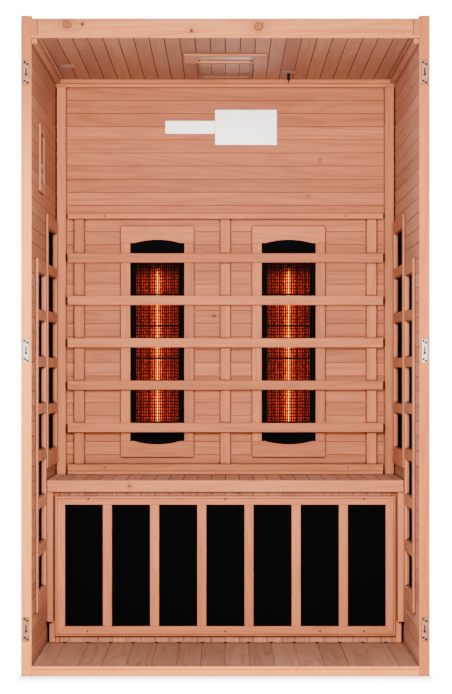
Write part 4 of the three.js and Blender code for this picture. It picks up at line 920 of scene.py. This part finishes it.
# The batten's faces that don't look forward get a darker copy of the wood, as painted shade.
shaded_batten_wood = wood("batten", tones=SHADED_PLANK_TONES, corner_shade=0.4)
for side in ("left", "right"):
    node = f"{side}_ceiling_batten"
    batten = start_planks()
    add_box(batten, *spans(node), "Y", BATTEN_EASE)
    finish_piece(batten, f"{node}_plank", shaded_batten_wood, "hemlock_trim", node, lit_front_material=PLANK)

# Ceiling lamp: an unlit opal lens in a softwood frame of four planks, which is screwed to the
# ceiling boards and has a wide plank at the front.
LAMP_FRONT_PLANK = 36 * MM
LAMP_BACK_PLANK = 21 * MM
LAMP_SIDE_PLANK = 43 * MM
x, y, z = spans("lamp_frame")
front_y = (y[0], y[0] + LAMP_FRONT_PLANK)
back_y = (y[1] - LAMP_BACK_PLANK, y[1])
lamp_frame = start_planks()
add_box(lamp_frame, x, front_y, z, "X")
add_box(lamp_frame, x, back_y, z, "X")
for edge in ((x[0], x[0] + LAMP_SIDE_PLANK), (x[1] - LAMP_SIDE_PLANK, x[1])):
    add_box(lamp_frame, edge, (front_y[1] + JOINT, back_y[0] - JOINT), z, "Y")
# The lamp frame's faces that look forward are painted paler than the others, as painted light and shade.
finish_piece(lamp_frame, "lamp_frame_planks", SHADED_PLANK, "hemlock_trim", "lamp_frame",
             lit_front_material=PLANK)
paint(plain("opal_lens", (0.36, 0.25, 0.19), 0.4)[0], "ceiling_lamp")

# Control panel: a black moulded module with four grey buttons, in a softwood frame of four planks
# screwed to the left lining.
CONTROL_PLANK = 26 * MM
x, y, z = spans("control_frame")
control_frame = start_planks()
for edge in ((y[0], y[0] + CONTROL_PLANK), (y[1] - CONTROL_PLANK, y[1])):
    add_box(control_frame, x, edge, z, "Z")
between = (y[0] + CONTROL_PLANK + JOINT, y[1] - CONTROL_PLANK - JOINT)
for edge in ((z[0], z[0] + CONTROL_PLANK), (z[1] - CONTROL_PLANK, z[1])):
    add_box(control_frame, x, between, edge, "Y")
# The control frame's faces that look forward are painted paler than the others, as painted light and shade.
finish_piece(control_frame, "control_frame_planks", SHADED_PLANK, "hemlock_trim", "control_frame",
             lit_front_material=PLANK)
button_plastic = plain("button_plastic", (0.25, 0.25, 0.26), 0.4)[0]
paint(plain("black_module", (0.012, 0.012, 0.013), 0.25)[0], "control_module")
paint(button_plastic, *[name for name in nodes if name.startswith("control_button")])

# Vent: a softwood slider between two runners, which are screwed to the ceiling. Its boards run
# the way that it slides.
VENT_TONES = ((0.29, 0.124, 0.071, 1), (0.20, 0.078, 0.042, 1))
slider = wood("vent", "Y", "X", BOARD_PITCH, tones=LEVEL_TONES, corner_shade=0.3)
runners = wood("vent_runners", "Y", "X", start=WHOLE_BOARD, tones=VENT_TONES, corner_shade=0.3)
paint(slider, "vent_slider")
paint(runners, "vent_runners")

# Small fittings: a spotlight of dull turned metal, and a temperature probe with a black stem on a
# pale flange, both screwed to the ceiling. The zinc-plated power supply sits in the roof space.
FLANGE = 3.2 * MM
FLANGE_COLOUR = (0.27, 0.15, 0.10, 1)


def overlay(tree, shader, mask, colour):
    under = shader.inputs["Base Color"].links[0].from_socket
    tree.links.new(mix(tree, mask, under, colour), shader.inputs["Base Color"])


paint(plain("grey_metal", (0.27, 0.14, 0.09), 0.5)[0], "ceiling_spotlight")
zinc = plain("galvanised_box", (0.45, 0.46, 0.47), 0.45, metallic=0.8, speckle=0.2, scale=60.0)
paint(zinc[0], "power_supply")
probe, tree, shader = plain("temperature_probe", (0.003, 0.003, 0.003), 0.6, specular=0.1)
flange_start = span("temperature_probe", "Z")[1] - FLANGE
on_flange = math_node(tree, "GREATER_THAN", object_place(tree)[1]["Z"], flange_start)
overlay(tree, shader, on_flange, FLANGE_COLOUR)
paint(probe, "temperature_probe")

# Hook plates: plated steel with a keyhole, let into the front edges and held by four screws each.
# A dark sheet behind each plate fills its keyhole with painted shade, and a dark band round each
# plate's edge is painted shade. The plates are all one steel: the middle ones are painted brighter,
# as painted light.
LIT_PLATE = dict(colour=(0.80, 0.72, 0.66), roughness=0.3, metallic=0.8, speckle=0.15, scale=90.0)
SHADED_PLATE = dict(colour=(0.50, 0.21, 0.12), roughness=0.45, metallic=0.25, speckle=0.6, scale=110.0)
RIM_REACH = (0.6 * MM, 2.2 * MM)
RIM_SHADE = 0.75
PLATE_SCREW_PLACES = ((0.30, 6 * MM), (0.70, 11 * MM))
PLATE_SCREW_RADIUS = 3.8 * MM
SCREW_HEIGHT = 1 * MM
SCREW_SIDES = 16
SCREW_TOP_SHARE = 0.7
SHADE_SHEET_INSET = 3 * MM
SHADE_SHEET_DEPTH = (0.6 * MM, 0.1 * MM)
SHADE_SHEET_EASE = 0.1 * MM
HOOK_PLATES = sorted(name for name in nodes if "hook_plate" in name)


def painted_plate_shading(name):
    # Painted light: the middle plates get a brighter copy of the steel than the others.
    metal = LIT_PLATE if name.endswith("middle") else SHADED_PLATE
    material, tree, shader = plain(name, **metal)
    split = object_place(tree)[1]
    insets = []
    for axis in "XZ":
        low, high = span(name, axis)
        off = off_from(tree, split[axis], (low + high) / 2)
        insets.append(math_node(tree, "SUBTRACT", (high - low) / 2, off))
    # Painted shade: a dark band round the plate's edge.
    rim_shade = smooth_step(tree, math_node(tree, "MINIMUM", *insets), *RIM_REACH, RIM_SHADE, 0.0)
    overlay(tree, shader, rim_shade, JOINT_AND_SHADE_COLOUR)
    return material


def screw_group():
    """Low cones on the given points, all facing forward."""
    tree, given = start_tree("screw_heads", Geometry=["Points"], Float=["Radius", "Height"],
                             Material=["Material"])
    head = shader_node(tree, "GeometryNodeMeshCone", inputs={
        "Vertices": SCREW_SIDES,
        "Radius Top": math_node(tree, "MULTIPLY", given["Radius"], SCREW_TOP_SHARE),
        "Radius Bottom": given["Radius"],
        "Depth": given["Height"]})
    made = shader_node(tree, "GeometryNodeInstanceOnPoints", inputs={
        "Points": given["Points"], "Instance": head.outputs[0], "Rotation": (math.pi / 2, 0, 0)})
    end_tree(tree, made.outputs[0], given["Material"])
    return tree


def add_screws(name, points, radius):
    screws = grown(name, screw_heads, {
        "Radius": radius, "Height": SCREW_HEIGHT, "Material": screw_steel}, points)
    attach(screws, "cabin")


screw_heads = screw_group()
screw_steel = plain("screw_steel", (0.035, 0.028, 0.025), 0.4, metallic=0.5)[0]
shade_sheets = start_planks()
plate_screws = []
for name in HOOK_PLATES:
    paint(painted_plate_shading(name), name)
    x, y, z = spans(name)
    for share, inset in PLATE_SCREW_PLACES:
        across = share * (x[1] - x[0])
        plate_screws.append((x[0] + across, y[0], z[1] - inset))
        plate_screws.append((x[1] - across, y[0], z[0] + inset))
    # Painted shade: a dark sheet just behind the plate fills the keyhole.
    sheet_x = (x[0] + SHADE_SHEET_INSET, x[1] - SHADE_SHEET_INSET)
    sheet_y = (y[1] - SHADE_SHEET_DEPTH[0], y[1] - SHADE_SHEET_DEPTH[1])
    sheet_z = (z[0] + SHADE_SHEET_INSET, z[1] - SHADE_SHEET_INSET)
    add_box(shade_sheets, sheet_x, sheet_y, sheet_z, "Z", SHADE_SHEET_EASE)
finish_piece(shade_sheets, "keyhole_shade_sheets", screw_steel, "chromed_steel")
add_screws("plate_screws", plate_screws, PLATE_SCREW_RADIUS)

# Wood screws: dark steel heads in the rails of the backrest and of the bench heater's frame, sunk
# nearly flush and spaced as in the photo.
WOOD_SCREW_RADIUS = 3.0 * MM
REST_TOP_SCREWS = (-0.403, 0.402)
REST_BOTTOM_SCREWS = (-0.400, 0.408)
BENCH_TOP_SCREWS = (-0.436, 0.0, 0.440)
BENCH_BOTTOM_SCREWS = (-0.438, 0.0, 0.301, 0.441)
BENCH_TOP_INSET = 9 * MM
BENCH_BOTTOM_INSET = 16 * MM
rest_y, rest_z = spans("backrest_frame")[1:]
bench_y, bench_z = spans("bench_heater_frame")[1:]
wood_screws = []
for places, face, height in (
    (REST_TOP_SCREWS, rest_y[0], rest_z[1] - REST_TOP_RAIL / 2),
    (REST_BOTTOM_SCREWS, rest_y[0], rest_z[0] + REST_BOTTOM_RAIL / 2),
    (BENCH_TOP_SCREWS, bench_y[0], bench_z[1] - BENCH_TOP_INSET),
    (BENCH_BOTTOM_SCREWS, bench_y[0], bench_z[0] + BENCH_BOTTOM_INSET),
):
    wood_screws += [(across, face, height) for across in places]
add_screws("wood_screws", wood_screws, WOOD_SCREW_RADIUS)

# Two bare plates on the back wall: aluminium sheet, brushed along its length, with rounded
# corners, glued to the lining.
PLATE_THICKNESS = 1.2 * MM
PLATE_CORNER = 4 * MM
PLATE_EASE = 0.2 * MM
CORNER_STEPS = 6
SMALL_PLATE = ((-0.2016, -0.0356), (1.6904, 1.7333))
LARGE_PLATE = ((-0.0342, 0.1721), (1.6531, 1.7702))
BRUSH_SCALE = (14.0, 1.0, 1400.0)


def rounded_outline(x, z, radius):
    left, right = x[0] + radius, x[1] - radius
    low, high = z[0] + radius, z[1] - radius
    points = []
    for index, (cx, cz) in enumerate(((right, high), (left, high), (left, low), (right, low))):
        for step in range(CORNER_STEPS + 1):
            angle = (index + step / CORNER_STEPS) * math.pi / 2
            points.append((cx + radius * math.cos(angle), cz + radius * math.sin(angle)))
    return points


brushed, tree, shader = plain("brushed_plate", (0.86, 0.80, 0.77), 0.42, metallic=0.85, speckle=0.12,
                               scale=28.0)
place = object_place(tree)[0]
drawn = shader_node(tree, "ShaderNodeMapping", inputs={"Vector": place, "Scale": BRUSH_SCALE})
lines = shader_node(tree, "ShaderNodeTexNoise", inputs={"Vector": drawn.outputs[0], "Scale": 1.0})
tree.links.new(smooth_step(tree, lines.outputs["Fac"], 0.2, 0.8, 0.36, 0.50), shader.inputs["Roughness"])
plates = start_planks()
for x, z in (SMALL_PLATE, LARGE_PLATE):
    outline = rounded_outline(x, z, PLATE_CORNER)
    add_prism(plates, outline, (BACK_FACE - PLATE_THICKNESS, BACK_FACE), "X", PLATE_EASE)
finish_piece(plates, "bare_plates", brushed, "chromed_steel")
